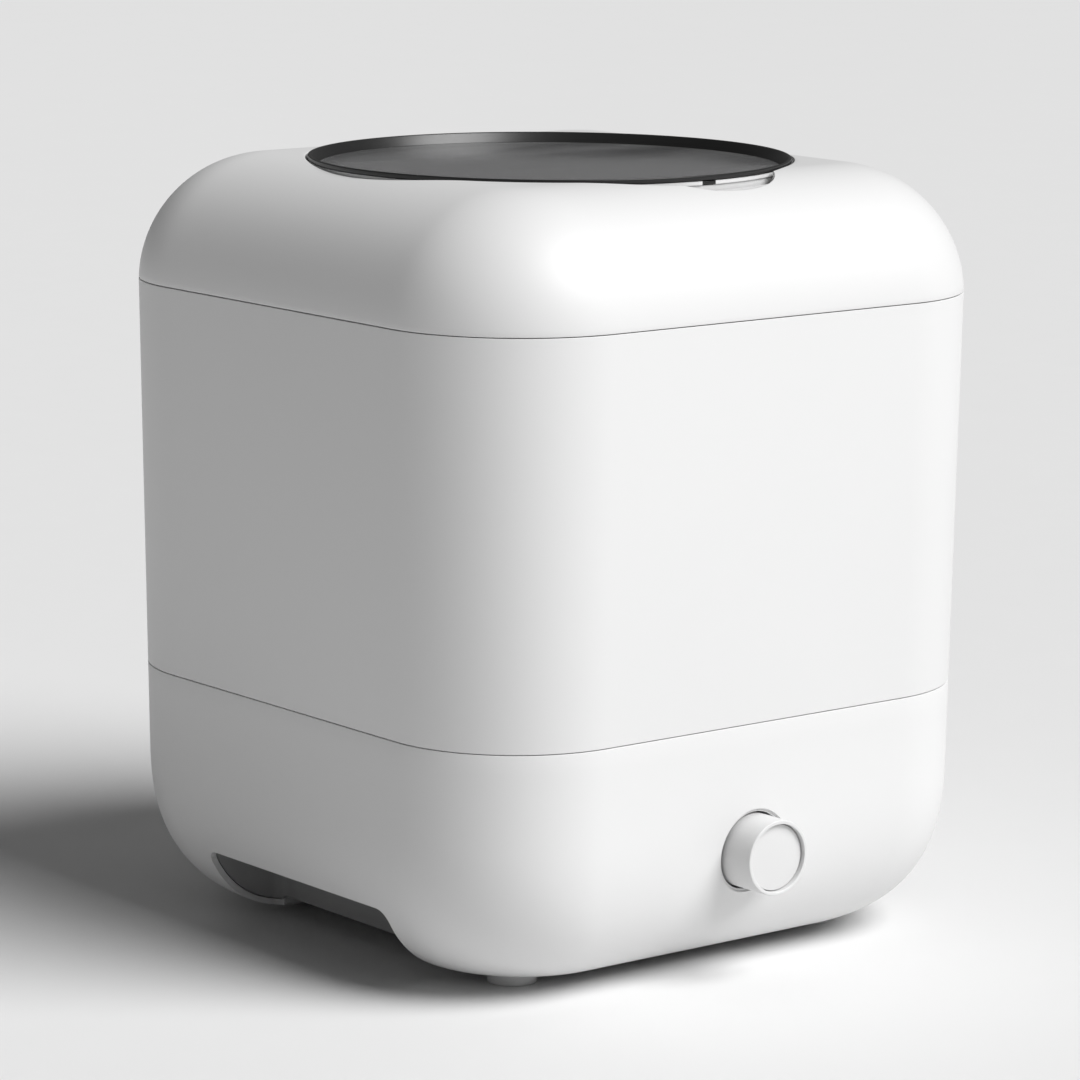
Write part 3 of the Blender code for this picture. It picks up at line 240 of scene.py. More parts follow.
def smoked_window_painted_reflection(name):
    """A smoked clear plastic pane, with faint smears in its polish."""
    material = bpy.data.materials.new(name)
    material.use_nodes = True
    tree = material.node_tree
    shader = tree.nodes["Principled BSDF"]
    # The pale grey base colour is partly painted reflection: it is lifted over the pane's own smoked
    # tint to stand in for reflections.
    shader.inputs["Base Color"].default_value = (0.50, 0.50, 0.505, 1)
    shader.inputs["Transmission Weight"].default_value = 0.72
    shader.inputs["IOR"].default_value = 1.5
    place = add_node(tree, "ShaderNodeTexCoord")
    stretch = add_node(tree, "ShaderNodeMapping")
    stretch.inputs["Scale"].default_value = (5.0, 22.0, 5.0)
    stretch.inputs["Rotation"].default_value = (0, 0, math.radians(20))
    smear = add_node(tree, "ShaderNodeTexNoise")
    smear.inputs["Scale"].default_value = 1.6
    smear.inputs["Detail"].default_value = 3.0
    gloss = add_node(tree, "ShaderNodeMapRange")
    gloss.inputs["From Min"].default_value = 0.35
    gloss.inputs["From Max"].default_value = 0.7
    gloss.inputs["To Min"].default_value = 0.10
    gloss.inputs["To Max"].default_value = 0.24
    tree.links.new(place.outputs["Object"], stretch.inputs["Vector"])
    tree.links.new(stretch.outputs["Vector"], smear.inputs["Vector"])
    tree.links.new(smear.outputs["Fac"], gloss.inputs["Value"])
    tree.links.new(gloss.outputs["Result"], shader.inputs["Roughness"])
    ripple = add_node(tree, "ShaderNodeBump")
    ripple.inputs["Strength"].default_value = 0.5
    ripple.inputs["Distance"].default_value = 0.0006
    tree.links.new(smear.outputs["Fac"], ripple.inputs["Height"])
    tree.links.new(ripple.outputs["Normal"], shader.inputs["Normal"])
    return material


WHITE = plastic("white_casing", (0.74, 0.74, 0.74), 0.48, shade=0.012)
KNOB_WHITE = plastic("white_knob", (0.68, 0.68, 0.68), 0.42, shade=0.012)
TUB_GREY = plastic("tub_plastic", (0.62, 0.63, 0.64), 0.34, shade=0.03)
BLACK = plastic("black_rim", (0.012, 0.012, 0.012), 0.34, grain=500.0, grain_height=0.000006)
# The liner's dark grey is partly painted shade: it stands in for the deep shade inside the grip
# pockets, over the liner's own grey.
LINER = plastic(
    "grained_liner_painted_shade", (0.33, 0.33, 0.333), 0.72, grain=900.0, grain_height=0.00012, shade=0.25
)
# The rubber's pale grey is painted light: it is lifted well above the feet's own tone to make up for
# the shade they sit in under the casing.
RUBBER = plastic(
    "pale_rubber_painted_light", (0.78, 0.78, 0.78), 0.82, grain=1100.0, grain_height=0.00008, shade=0.08
)
DARK_RUBBER = plastic(
    "black_rubber", (0.03, 0.03, 0.03), 0.75, grain=1100.0, grain_height=0.00008, shade=0.15
)
ZINC = plastic("zinc_plate", (0.52, 0.53, 0.55), 0.42, grain=700.0, shade=0.08, metallic=1.0)
STEEL = brushed_metal("brushed_steel", (0.58, 0.58, 0.58), 0.32)
BOARD = plastic("solder_mask", (0.02, 0.16, 0.05), 0.45, grain=300.0, grain_height=0.00003, shade=0.2)
WINDOW = smoked_window_painted_reflection("smoked_window_painted_reflection")


# ---------------------------------------------------------------- mesh helpers


def make_piece(name, mesh, material, body, replaced=()):
    """Adds a mesh as a piece that rides on a body and stands for CAD nodes."""
    obj = bpy.data.objects.new(name, mesh)
    bpy.context.scene.collection.objects.link(obj)
    mesh.materials.clear()
    mesh.materials.append(material)
    mesh.shade_smooth()
    mesh.set_sharp_from_angle(angle=math.radians(SHARP_ANGLE))
    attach(obj, body)
    if replaced:
        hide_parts(*replaced)
    return obj


def skin(name, rows, closed=True):
    """A mesh over rows of points that each run round the piece.

    Closed rows join the last row to the first one, else the ends are capped.
    """
    rows = [np.asarray(r, float) for r in rows]
    count = len(rows[0])
    points = np.concatenate(rows)
    faces = []
    last = len(rows) if closed else len(rows) - 1
    for k in range(last):
        here, there = k * count, ((k + 1) % len(rows)) * count
        for i in range(count):
            j = (i + 1) % count
            faces.append((here + i, here + j, there + j, there + i))
    if not closed:
        faces.append(tuple(range(count)))
        faces.append(tuple((len(rows) - 1) * count + i for i in range(count)))
    mesh = bpy.data.meshes.new(name)
    mesh.from_pydata(points.tolist(), [], faces)
    bm = bmesh.new()
    bm.from_mesh(mesh)
    bmesh.ops.recalc_face_normals(bm, faces=bm.faces[:])
    bm.to_mesh(mesh)
    bm.free()
    return mesh


def rounded_profile(points, radius, steps=4, open_ends=False):
    """The profile with each corner turned into an arc. radius is one number, or one for each point."""
    radii = radius if isinstance(radius, (list, tuple)) else [radius] * len(points)
    points = [Vector(p) for p in points]
    out = []
    count = len(points)
    for i, point in enumerate(points):
        if open_ends and i in (0, count - 1):
            out.append(tuple(point))
            continue
        before, after = points[i - 1] - point, points[(i + 1) % count] - point
        reach = min(radii[i], 0.45 * before.length, 0.45 * after.length)
        if reach <= 0:
            out.append(tuple(point))
            continue
        start, end = point + before.normalized() * reach, point + after.normalized() * reach
        for step in range(steps + 1):
            t = step / steps
            out.append(tuple(start * (1 - t) ** 2 + point * 2 * t * (1 - t) + end * t**2))
    return out


def turned(name, profile, placing=UPRIGHT, at=(0, 0, 0), steps=TURN_STEPS):
    """A turned mesh from (radius, height) points.

    End points on the axis close it, else the profile is a ring.
    """
    on_axis = profile[0][0] < 1e-9 and profile[-1][0] < 1e-9
    inner = profile[1:-1] if on_axis else profile
    turns = np.linspace(0, 2 * math.pi, steps, endpoint=False)
    rows = [np.stack([r * np.cos(turns), r * np.sin(turns), np.full(steps, z)], 1) for r, z in inner]
    if on_axis:
        mesh = skin(name, rows, closed=False)
    else:
        mesh = skin(name, rows)
    mesh.transform(Matrix.Translation(Vector(at)) @ placing)
    return mesh


def cylinder_mesh(name, radius, start, length, placing=UPRIGHT, steps=96):
    bm = bmesh.new()
    lift = Matrix.Translation((0, 0, length / 2))
    bmesh.ops.create_cone(
        bm, cap_ends=True, segments=steps, radius1=radius, radius2=radius, depth=length, matrix=lift
    )
    mesh = bpy.data.meshes.new(name)
    bm.to_mesh(mesh)
    bm.free()
    mesh.transform(Matrix.Translation(Vector(start)) @ placing)
    return mesh


def box_mesh(name, low, high, rounding=0.0, steps=6):
    low, high = Vector(low), Vector(high)
    bm = bmesh.new()
    bmesh.ops.create_cube(bm, size=1)
    bmesh.ops.scale(bm, vec=high - low, verts=bm.verts)
    bmesh.ops.translate(bm, vec=(low + high) / 2, verts=bm.verts)
    if rounding:
        bmesh.ops.bevel(
            bm, geom=bm.edges[:] + bm.verts[:], offset=rounding, segments=steps, profile=0.5,
            affect="EDGES",
        )
    mesh = bpy.data.meshes.new(name)
    bm.to_mesh(mesh)
    bm.free()
    return mesh


def joined(name, meshes):
    """One mesh of several bodies that don't touch."""
    bm = bmesh.new()
    for mesh in meshes:
        bm.from_mesh(mesh)
    out = bpy.data.meshes.new(name)
    bm.to_mesh(out)
    bm.free()
    return out


def boolean(mesh, *steps):
    """The mesh after each (operation, other mesh) step."""
    obj = bpy.data.objects.new("boolean_target", mesh)
    bpy.context.scene.collection.objects.link(obj)
    others = []
    for operation, other in steps:
        tool = bpy.data.objects.new("boolean_tool", other)
        bpy.context.scene.collection.objects.link(tool)
        modifier = obj.modifiers.new("step", "BOOLEAN")
        modifier.operation = operation
        modifier.object = tool
        modifier.solver = "EXACT"
        others.append(tool)
    evaluated = obj.evaluated_get(bpy.context.evaluated_depsgraph_get())
    out = bpy.data.meshes.new_from_object(evaluated)
    for tool in [obj, *others]:
        bpy.data.objects.remove(tool)
    return out


def borrow_normals(obj, source, reach=0.00002):
    """Shades the faces of a cut piece that lie on the uncut surface as smoothly as that surface."""
    points = [v.co.copy() for v in source.vertices]
    normals = [Vector(n.vector) for n in source.vertex_normals]
    polygons = [tuple(p.vertices) for p in source.polygons]
    tree = BVHTree.FromPolygons(points, polygons)
    mesh = obj.data
    corner_normals = [Vector(n.vector) for n in mesh.corner_normals]
    for polygon in mesh.polygons:
        found = tree.find_nearest(polygon.center)
        flat = all(tree.find_nearest(mesh.vertices[v].co)[3] < reach for v in polygon.vertices)
        if found[3] > 0.0004 or not flat or abs(found[1].dot(polygon.normal)) < 0.9:
            continue
        for corner in polygon.loop_indices:
            place = mesh.vertices[mesh.loops[corner].vertex_index].co
            spot, _, face, _ = tree.find_nearest(place)
            weights = poly_3d_calc([points[i] for i in polygons[face]], spot)
            normal = sum((w * normals[i] for w, i in zip(weights, polygons[face])), Vector())
            corner_normals[corner] = normal.normalized()
    mesh.normals_split_custom_set(corner_normals)


# ---------------------------------------------------------------- casing outline


def half_width_at(z):
    return HALF_WIDTH - DRAFT * (UPPER_SEAM_Z - z)


def rounded_square(half, corner, z, steps=CORNER_STEPS):
    """Points round a square with rounded corners, at one height."""
    angles = np.linspace(0, math.pi / 2, steps + 1)
    x = half - corner + corner * np.cos(angles)
    y = half - corner + corner * np.sin(angles)
    quarters = []
    for turn in range(4):
        a = math.pi / 2 * turn
        across = x * math.cos(a) - y * math.sin(a)
        along = x * math.sin(a) + y * math.cos(a)
        quarters.append(np.stack([across, along], 1))
    flat = np.concatenate(quarters)
    return np.column_stack([flat, np.full(len(flat), z)])


def side_row(inset, z):
    lost = HALF_WIDTH - half_width_at(min(z, UPPER_SEAM_Z)) + inset
    return rounded_square(HALF_WIDTH - lost, CORNER_RADIUS - lost, z)


def base_rows(inset, count):
    """Rows over the base's rounding, from the side down to the floor of the casing."""
    rows = []
    width = BASE_ROUND_WIDTH - inset
    height = BASE_ROUND_HEIGHT - inset
    for angle in np.linspace(0, math.pi / 2, count):
        gone = width * (1 - max(0.0, math.cos(angle)) ** (2 / BASE_ROUND_POWER))
        z = BASE_ROUND_Z - height * math.sin(angle) ** (2 / BASE_ROUND_POWER)
        half = half_width_at(z) - inset - gone
        corner = CORNER_RADIUS - (HALF_WIDTH - half_width_at(z)) - inset - BASE_CORNER_SHRINK * gone
        rows.append(rounded_square(half, max(corner, BASE_MIN_CORNER), z))
    return rows


# ---------------------------------------------------------------- top cover


DIRECTIONS = np.linspace(0, 2 * math.pi, DOME_DIRECTIONS, endpoint=False)
ACROSS = np.stack([np.cos(DIRECTIONS), np.sin(DIRECTIONS)], 1)


def outline_reach(half, corner):
    """Distance from the axis to a rounded square, in each direction.

    half and corner may vary by direction.
    """
    u = np.abs(ACROSS)
    flat = half / u.max(1)
    centre = half - corner
    on_flat = (flat[:, None] * u).min(1) <= centre
    along = centre * (u[:, 0] + u[:, 1])
    inside = np.maximum(along**2 - 2 * centre**2 + corner**2, 0)
    return np.where(on_flat, flat, along + np.sqrt(inside))


def dome_height(reach, inset):
    """Height of the dome, or of its inner side, at a distance from the axis in each direction."""
    points = np.abs(ACROSS * np.asarray(reach)[:, None])
    q = points - (HALF_WIDTH - CORNER_RADIUS)
    outside = np.linalg.norm(np.maximum(q, 0), axis=1)
    depth = CORNER_RADIUS - outside - np.minimum(q.max(1), 0) - inset
    width, height = TOP_ROUND_WIDTH - inset, TOP_ROUND_HEIGHT - inset
    part = 1 - np.clip(depth / width, 0, 1)
    return TOP_ROUND_Z + height * np.sqrt(np.maximum(1 - part**2, 0))


def dome_row(angle, inset):
    """A row of the dome at an angle of its rounding, which may vary by direction."""
    angle = np.broadcast_to(angle, DIRECTIONS.shape)
    gone = inset + (TOP_ROUND_WIDTH - inset) * (1 - np.cos(angle))
    reach = outline_reach(HALF_WIDTH - gone, CORNER_RADIUS - gone)
    z = TOP_ROUND_Z + (TOP_ROUND_HEIGHT - inset) * np.sin(angle)
    return np.column_stack([ACROSS * reach[:, None], z])


def last_angle(inset, radius):
    """The rounding's angle at which each direction comes in to a radius, or a right angle."""
    low, high = np.zeros(len(DIRECTIONS)), np.full(len(DIRECTIONS), math.pi / 2)
    for _ in range(40):
        middle = (low + high) / 2
        reach = np.linalg.norm(dome_row(middle, inset)[:, :2], axis=1)
        low = np.where(reach > radius, middle, low)
        high = np.where(reach > radius, high, middle)
    return low


def ring_row(reach, z):
    reach = np.broadcast_to(reach, DIRECTIONS.shape)
    return np.column_stack([ACROSS * reach[:, None], np.broadcast_to(z, DIRECTIONS.shape)])


def dome_rows(inset, start_z, stop_radius, ease):
    """Rows from a height on the dome's side to a circle round the axis."""
    start = math.asin((start_z - TOP_ROUND_Z) / (TOP_ROUND_HEIGHT - inset))
    end = last_angle(inset, stop_radius + ease)
    rows = [dome_row(start + (end - start) * k / DOME_ROWS, inset) for k in range(DOME_ROWS + 1)]
    reach = np.linalg.norm(rows[-1][:, :2], axis=1)
    for k in range(1, 7):
        here = reach + (stop_radius - reach) * k / 6
        rows.append(ring_row(here, dome_height(here, inset)))
    return rows


def cover_rows():
    """The top cover's rows: its outside, the lid's seat, the neck, and back along its inside."""
    seam = UPPER_SEAM_Z + SEAM_HALF_GAP
    outside = dome_rows(0, seam + SEAM_EDGE, SEAT_RADIUS + SEAT_EDGE, 3 * MM)
    rows = []
    for t in np.linspace(0, 1, 4)[:-1]:
        inset = SEAM_EDGE * (1 - math.sin(math.pi / 2 * t))
        lift = SEAM_EDGE * (1 - math.cos(math.pi / 2 * t))
        reach = np.linalg.norm(outside[0][:, :2], axis=1) - inset
        rows.append(ring_row(reach, seam + lift))
    rows += outside
    top = rows[-1][:, 2]
    for t in np.linspace(0, math.pi / 2, 5)[1:]:
        reach = SEAT_RADIUS + SEAT_EDGE * (1 - math.sin(t))
        rows.append(ring_row(reach, top - SEAT_EDGE * (1 - math.cos(t))))
    seat_bottom = SEAT_FLOOR_Z - SEAT_WALL
    inside = [(SEAT_RADIUS, SEAT_FLOOR_Z), (NECK_RADIUS, SEAT_FLOOR_Z), (NECK_RADIUS, NECK_BOTTOM_Z)]
    inside += [(NECK_RADIUS + NECK_WALL, NECK_BOTTOM_Z), (NECK_RADIUS + NECK_WALL, seat_bottom)]
    inside += [(SEAT_RADIUS + SEAT_WALL, seat_bottom)]
    guides = [(SEAT_RADIUS, top.min()), *inside, (SEAT_RADIUS, seat_bottom)]
    for radius, z in rounded_profile(guides, 0.6 * MM)[5:-5]:
        rows.append(ring_row(radius, z))
    under = dome_rows(WALL, seam + 2 * MM, SEAT_RADIUS + SEAT_WALL, 3 * MM)
    for row in reversed(under):
        in_depth = (row[:, 1] > HINGE_POCKET_START) & (row[:, 1] < HINGE_POCKET_END)
        hinge = in_depth & (np.abs(row[:, 0]) < HINGE_POCKET_HALF)
        scoop = np.linalg.norm(row[:, :2] - SCOOP_CENTRE, axis=1) < SCOOP_RADIUS + 2 * WALL
        row[:, 2] = np.where(hinge, np.minimum(row[:, 2], seat_bottom), row[:, 2])
        row[:, 2] = np.where(scoop, np.minimum(row[:, 2], SCOOP_FLOOR_Z - WALL), row[:, 2])
        rows.append(row)
    reach = np.linalg.norm(under[0][:, :2], axis=1)
    rows.append(ring_row(reach, seam))
    return rows


def build_top_cover():
    uncut = skin("cover_uncut", cover_rows())
    uncut.shade_smooth()
    notch_low = (-HINGE_NOTCH_HALF, 90 * MM, SEAT_FLOOR_Z)
    notch = box_mesh("notch", notch_low, (HINGE_NOTCH_HALF, HINGE_NOTCH_END, ABOVE_ALL_Z), 0.8 * MM, 3)
    top = ABOVE_ALL_Z - SCOOP_FLOOR_Z
    scoop_profile = [(0, top), (SCOOP_RADIUS, top), (SCOOP_RADIUS, 0), (0, 0)]
    scoop_profile = rounded_profile(scoop_profile, [0, 0, 4 * MM, 0], 6, open_ends=True)
    scoop = turned("scoop", scoop_profile, at=(*SCOOP_CENTRE, SCOOP_FLOOR_Z))
    cut = boolean(uncut.copy(), ("DIFFERENCE", notch), ("DIFFERENCE", scoop))
    cover = make_piece("top_cover_shell", cut, WHITE, "root", ["top_cover"])
    borrow_normals(cover, uncut)


# ---------------------------------------------------------------- body and base shells


def build_body_shell():
    top, bottom = UPPER_SEAM_Z - SEAM_HALF_GAP, LOWER_SEAM_Z + SEAM_HALF_GAP
    lip, deep, reach, root = LIP_INSET, LIP_INSET + 1.5 * MM, 3.4 * MM, 5 * MM
    stations = [
        (0, bottom), (0, top), (lip, top), (lip, top + reach), (deep, top + reach), (deep, top - root),
        (WALL, top - root - 3 * MM), (WALL, bottom + root + 3 * MM), (deep, bottom + root),
        (deep, bottom - reach), (lip, bottom - reach), (lip, bottom),
    ]
    profile = rounded_profile(stations, SEAM_EDGE)
    mesh = skin("body_wall", [side_row(inset, z) for inset, z in profile])
    make_piece("body_wall", mesh, WHITE, "root", ["body_shell"])


def grip_space(name, side, extra):
    inner, outer = GRIP_INNER_X - extra, 180 * MM
    low = (min(side * inner, side * outer), -GRIP_HALF_LENGTH - extra, BELOW_ALL_Z)
    high = (max(side * inner, side * outer), GRIP_HALF_LENGTH + extra, GRIP_TOP_Z + extra)
    return box_mesh(name, low, high, GRIP_ROUND + extra, 8)


def channel(name, half_length, extra):
    """The raised underside between the grips, grown upwards and sideways by extra."""
    low = (-half_length, -GRIP_HALF_LENGTH - extra, BELOW_ALL_Z)
    high = (half_length, GRIP_HALF_LENGTH + extra, CHANNEL_TOP_Z + extra)
    return box_mesh(name, low, high)


def knob_rim():
    """The shallow step round the knob's hole: the base's outer skin within a circle."""
    rim = cylinder_mesh("rim", KNOB_RIM_RADIUS, (0, -HOLE_START_Y, KNOB_Z), HOLE_LENGTH, FRONT, 128)
    rows = [side_row(KNOB_RIM_DEPTH, LOWER_SEAM_Z), *base_rows(KNOB_RIM_DEPTH, OUTSIDE_ROWS)]
    return boolean(rim, ("DIFFERENCE", skin("rim_floor", rows, closed=False)))


def foot_places():
    places = []
    for row, y in (("front", -FOOT_PLACE), ("rear", FOOT_PLACE)):
        for side, x in (("left", -FOOT_PLACE), ("right", FOOT_PLACE)):
            places.append((row + "_" + side, x, y))
    return places


def base_outside():
    top = LOWER_SEAM_Z - SEAM_HALF_GAP
    rows = []
    for t in np.linspace(0, math.pi / 2, 5):
        rows.append(side_row(SEAM_EDGE * (1 - math.sin(t)), top - SEAM_EDGE * (1 - math.cos(t))))
    rows += [side_row(0, z) for z in (105 * MM, 95 * MM, 85 * MM)]
    return skin("base_outside", rows + base_rows(0, OUTSIDE_ROWS), closed=False)


def build_base_shell():
    outside = base_outside()
    hollow_rows = [side_row(WALL, LOWER_SEAM_Z + 10 * MM), *base_rows(WALL, INSIDE_ROWS)]
    hollow = skin("base_hollow", hollow_rows, closed=False)
    bosses = []
    seats = []
    for _, x, y in foot_places():
        bosses.append(cylinder_mesh("boss", FOOT_RADIUS + 2.6 * MM, (x, y, BELOW_FEET_Z), 14.5 * MM))
        seats.append(cylinder_mesh("seat", FOOT_RADIUS + 0.4 * MM, (x, y, BELOW_FEET_Z), 11.9 * MM))
    boss_start = (0, KNOB_BOSS_END_Y, KNOB_Z)
    bosses.append(cylinder_mesh("boss", KNOB_RIM_RADIUS + WALL, boss_start, 40 * MM, FRONT))
    raised = channel("raised", GRIP_INNER_X - LINER_WALL - 0.3 * MM, WALL)
    hollow = boolean(hollow, ("DIFFERENCE", joined("bosses", bosses)), ("DIFFERENCE", raised))
    holes = [
        (KNOB_HOLE_RADIUS, (0, -HOLE_START_Y, KNOB_Z), FRONT, 128),
        (DRAIN_RADIUS + 0.5 * MM, (DRAIN_X, HOLE_START_Y, DRAIN_Z), REAR, 96),
        (INLET_RADIUS + 0.4 * MM, (INLET_X, HOLE_START_Y, INLET_Z), REAR, 96),
    ]
    for radius, start, placing, steps in holes:
        seats.append(cylinder_mesh("hole", radius, start, HOLE_LENGTH, placing, steps))
    seats += [grip_space("left", -1, 0), grip_space("right", 1, 0)]
    service = [rounded_square(SERVICE_HALF, 10 * MM, z, 6) for z in (BELOW_FEET_Z, 20 * MM)]
    seats.append(skin("service", service, closed=False))
    under = channel("under", GRIP_INNER_X + MM, 0)
    voids = [("DIFFERENCE", joined("voids", seats)), ("DIFFERENCE", under), ("DIFFERENCE", knob_rim())]
    cut = boolean(outside.copy(), ("DIFFERENCE", hollow), *voids)
    base = make_piece("base_tray", cut, WHITE, "root", ["base_shell"])
    borrow_normals(base, outside)


def build_grip_liners():
    for side, word in ((-1, "left"), (1, "right")):
        rows = [side_row(WALL + 0.5 * MM, LOWER_SEAM_Z), *base_rows(WALL + 0.5 * MM, INSIDE_ROWS)]
        solid = skin("liner", rows, closed=False)
        outer = grip_space("outer", side, LINER_WALL)
        inner = grip_space("inner", side, -0.1 * MM)
        under = channel("under", GRIP_INNER_X + MM, -0.1 * MM)
        mesh = boolean(solid, ("INTERSECT", outer), ("DIFFERENCE", inner), ("DIFFERENCE", under))
        node = "grip_liner_" + word
        make_piece("grip_cup_" + word, mesh, LINER, "root", [node])


def build_feet():
    profile = rounded_profile(
        [(0, 8 * MM), (3.2 * MM, 8 * MM), (3.2 * MM, FOOT_TOP_Z), (FOOT_RADIUS, FOOT_TOP_Z),
         (FOOT_RADIUS, 0), (FOOT_RADIUS - 2.2 * MM, 0), (FOOT_RADIUS - 2.8 * MM, 0.6 * MM),
         (0, 0.6 * MM)],
        0.6 * MM, open_ends=True,
    )
    for name, x, y in foot_places():
        mesh = turned("foot", profile, at=(x, y, 0), steps=96)
        make_piece("rubber_foot_" + name, mesh, RUBBER, "root", ["foot_" + name])


# ---------------------------------------------------------------- lid


def build_lid():
    ledge, ledge_top = NECK_RADIUS + 0.4 * MM, LID_LEDGE_Z + 1.2 * MM
    frame_profile = rounded_profile(
        [(LID_RADIUS, LID_TOP_Z), (LID_RADIUS, LID_BAND_Z), (LID_RADIUS - 2.3 * MM, LID_BAND_Z),
         (LID_RADIUS - 2.3 * MM, LID_LEDGE_Z), (ledge, LID_LEDGE_Z), (ledge, ledge_top),
         (FRAME_OPENING, ledge_top), (FRAME_OPENING, WINDOW_TOP_Z), (LID_RADIUS - 1.3 * MM, LID_TOP_Z)],
        [r * MM for r in (0.45, 0.3, 0.2, 0.4, 0.3, 0.3, 0.1, 0.2, 0.45)],
    )
    rim = turned("lid_rim", frame_profile, steps=LID_STEPS)
    make_piece("lid_rim", rim, BLACK, "lid", ["lid_frame"])
    pane_bottom = ledge_top + 0.3 * MM
    pane = rounded_profile(
        [(0, WINDOW_TOP_Z), (WINDOW_RADIUS, WINDOW_TOP_Z), (WINDOW_RADIUS, pane_bottom),
         (0, pane_bottom)],
        0.3 * MM, open_ends=True,
    )
    pane = turned("lid_pane", pane, steps=LID_STEPS)
    make_piece("lid_pane", pane, WINDOW, "lid", ["lid_window"])

    top = LID_BAND_Z - 0.3 * MM
    step_z, bottom = top - 1.8 * MM, top - 5.3 * MM
    outer, stepped, inner = LID_RADIUS - 0.5 * MM, LID_RADIUS - 1.2 * MM, LID_RADIUS - 2.0 * MM
    skirt_profile = rounded_profile(
        [(inner, top), (outer, top), (outer, step_z), (stepped, step_z), (stepped, bottom),
         (inner, bottom)],
        0.25 * MM,
    )
    skirt = turned("skirt", skirt_profile, steps=LID_STEPS)
    arm_low = (-KNUCKLE_HALF_LENGTH, LID_RADIUS - 6 * MM, HINGE_Z - 1.2 * MM)
    arm = box_mesh("arm", arm_low, (KNUCKLE_HALF_LENGTH, HINGE_Y, HINGE_Z + 3 * MM), 0.5 * MM, 3)
    core = cylinder_mesh("core", LID_RADIUS - 2.0 * MM, (0, 0, 320 * MM), 60 * MM, steps=LID_STEPS)
    arm = boolean(arm, ("DIFFERENCE", core))
    length = 2 * KNUCKLE_HALF_LENGTH
    knuckle_profile = rounded_profile(
        [(0, length), (KNUCKLE_RADIUS, length), (KNUCKLE_RADIUS, 0), (0, 0)],
        0.4 * MM, open_ends=True,
    )
    start = (-KNUCKLE_HALF_LENGTH, HINGE_Y, HINGE_Z)
    knuckle = turned("knuckle", knuckle_profile, SIDE, start, 48)
    slot = box_mesh(
        "catch_slot", (CATCH_X - CATCH_SLOT_HALF, -110 * MM, step_z - 0.2 * MM),
        (CATCH_X + CATCH_SLOT_HALF, -100 * MM, top + 2 * MM),
    )
    skirt = boolean(skirt, ("UNION", arm), ("UNION", knuckle), ("DIFFERENCE", slot))
    make_piece("lid_underring", skirt, WHITE, "lid", ["lid_skirt"])

    low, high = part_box("lid_gasket")
    inner, outer, lips = 98.5 * MM, 104 * MM, low.z + 1.6 * MM
    gasket_profile = rounded_profile(
        [(inner, high.z), (outer, high.z), (outer, lips), (outer - 1.6 * MM, low.z),
         (inner + 1.9 * MM, low.z), (inner, lips)],
        0.4 * MM,
    )
    gasket = turned("gasket", gasket_profile)
    make_piece("lid_seal", gasket, DARK_RUBBER, "lid", ["lid_gasket"])
    low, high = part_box("lid_catch")
    latch = box_mesh("latch", low, high, 0.25 * MM, 3)
    make_piece("lid_latch", latch, BLACK, "lid", ["lid_catch"])


# ---------------------------------------------------------------- tub and pulsator


def build_tub():
    outer, under = TUB_RADIUS + TUB_WALL, TUB_FLOOR_Z - TUB_WALL
    ring_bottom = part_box("wash_tub")[0].z
    profile = rounded_profile(
        [(TUB_RADIUS, TUB_TOP_Z), (112 * MM, TUB_TOP_Z), (112 * MM, TUB_TOP_Z - TUB_WALL),
         (outer, TUB_TOP_Z - TUB_WALL), (outer, under), (63 * MM, under), (63 * MM, ring_bottom),
         (60 * MM, ring_bottom), (60 * MM, under), (9 * MM, under), (9 * MM, TUB_FLOOR_Z),
         (TUB_RADIUS, TUB_FLOOR_Z)],
        [r * MM for r in (0.8, 0.8, 0.8, 1, 5, 1, 0.5, 0.5, 1, 0.5, 0.5, 10)],
        steps=8,
    )
    tub = turned("tub", profile)
    drain = cylinder_mesh("drain", 7 * MM, (DRAIN_X, 58 * MM, 110 * MM), 30 * MM)
    tub = boolean(tub, ("DIFFERENCE", drain))
    make_piece("tub_bowl", tub, TUB_GREY, "root", ["wash_tub"])


def pulsator_height(radius, angle):
    """The pulsator's upper face: a cone that flattens outwards, with four rounded vanes that lean."""
    cone = 3 * MM + 14 * MM * (1 - radius / PULSATOR_RADIUS) ** 2.2
    lean = angle - 0.35 * (radius / PULSATOR_RADIUS) ** 2
    across = np.abs(np.sin(2 * lean)) * radius / 2
    width = 6 * MM + 0.06 * radius
    ridge = np.exp(-((across / width) ** 4))
    start = np.clip((radius - 12 * MM) / (14 * MM), 0, 1)
    along = start * np.clip((74 * MM - radius) / (14 * MM), 0, 1)
    hub = np.clip((12 * MM - radius) / (2 * MM), 0, 1)
    return cone + 8 * MM * ridge * along**0.7 * (1 - hub)


def build_pulsator():
    turns = np.linspace(0, 2 * math.pi, 240, endpoint=False)
    rows = []
    for radius in np.linspace(3 * MM, PULSATOR_RADIUS - MM, 60):
        z = PULSATOR_BASE_Z + pulsator_height(np.full(len(turns), radius), turns)
        rows.append(np.column_stack([radius * np.cos(turns), radius * np.sin(turns), z]))
    edge = PULSATOR_RADIUS
    for radius, lift in ((edge, 2.1 * MM), (edge, 0.5 * MM), (edge - MM, 0), (6 * MM, 0)):
        flat = np.full(len(turns), PULSATOR_BASE_Z + lift)
        rows.append(np.column_stack([radius * np.cos(turns), radius * np.sin(turns), flat]))
    mesh = skin("agitator", rows, closed=False)
    make_piece("agitator_disc", mesh, TUB_GREY, "pulsator_set", ["pulsator"])
    low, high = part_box("pulsator_cap")
    radius = high.x
    profile = rounded_profile(
        [(0, high.z), (0.55 * radius, high.z - 0.6 * MM), (radius, low.z + 2.6 * MM), (radius, low.z),
         (radius - 2.5 * MM, low.z), (radius - 2.5 * MM, low.z + 2 * MM), (0, low.z + 2.6 * MM)],
        1.2 * MM, open_ends=True,
    )
    cap = turned("cap", profile, steps=96)
    make_piece("agitator_cap", cap, TUB_GREY, "pulsator_set", ["pulsator_cap"])


# ---------------------------------------------------------------- knob and rear fittings


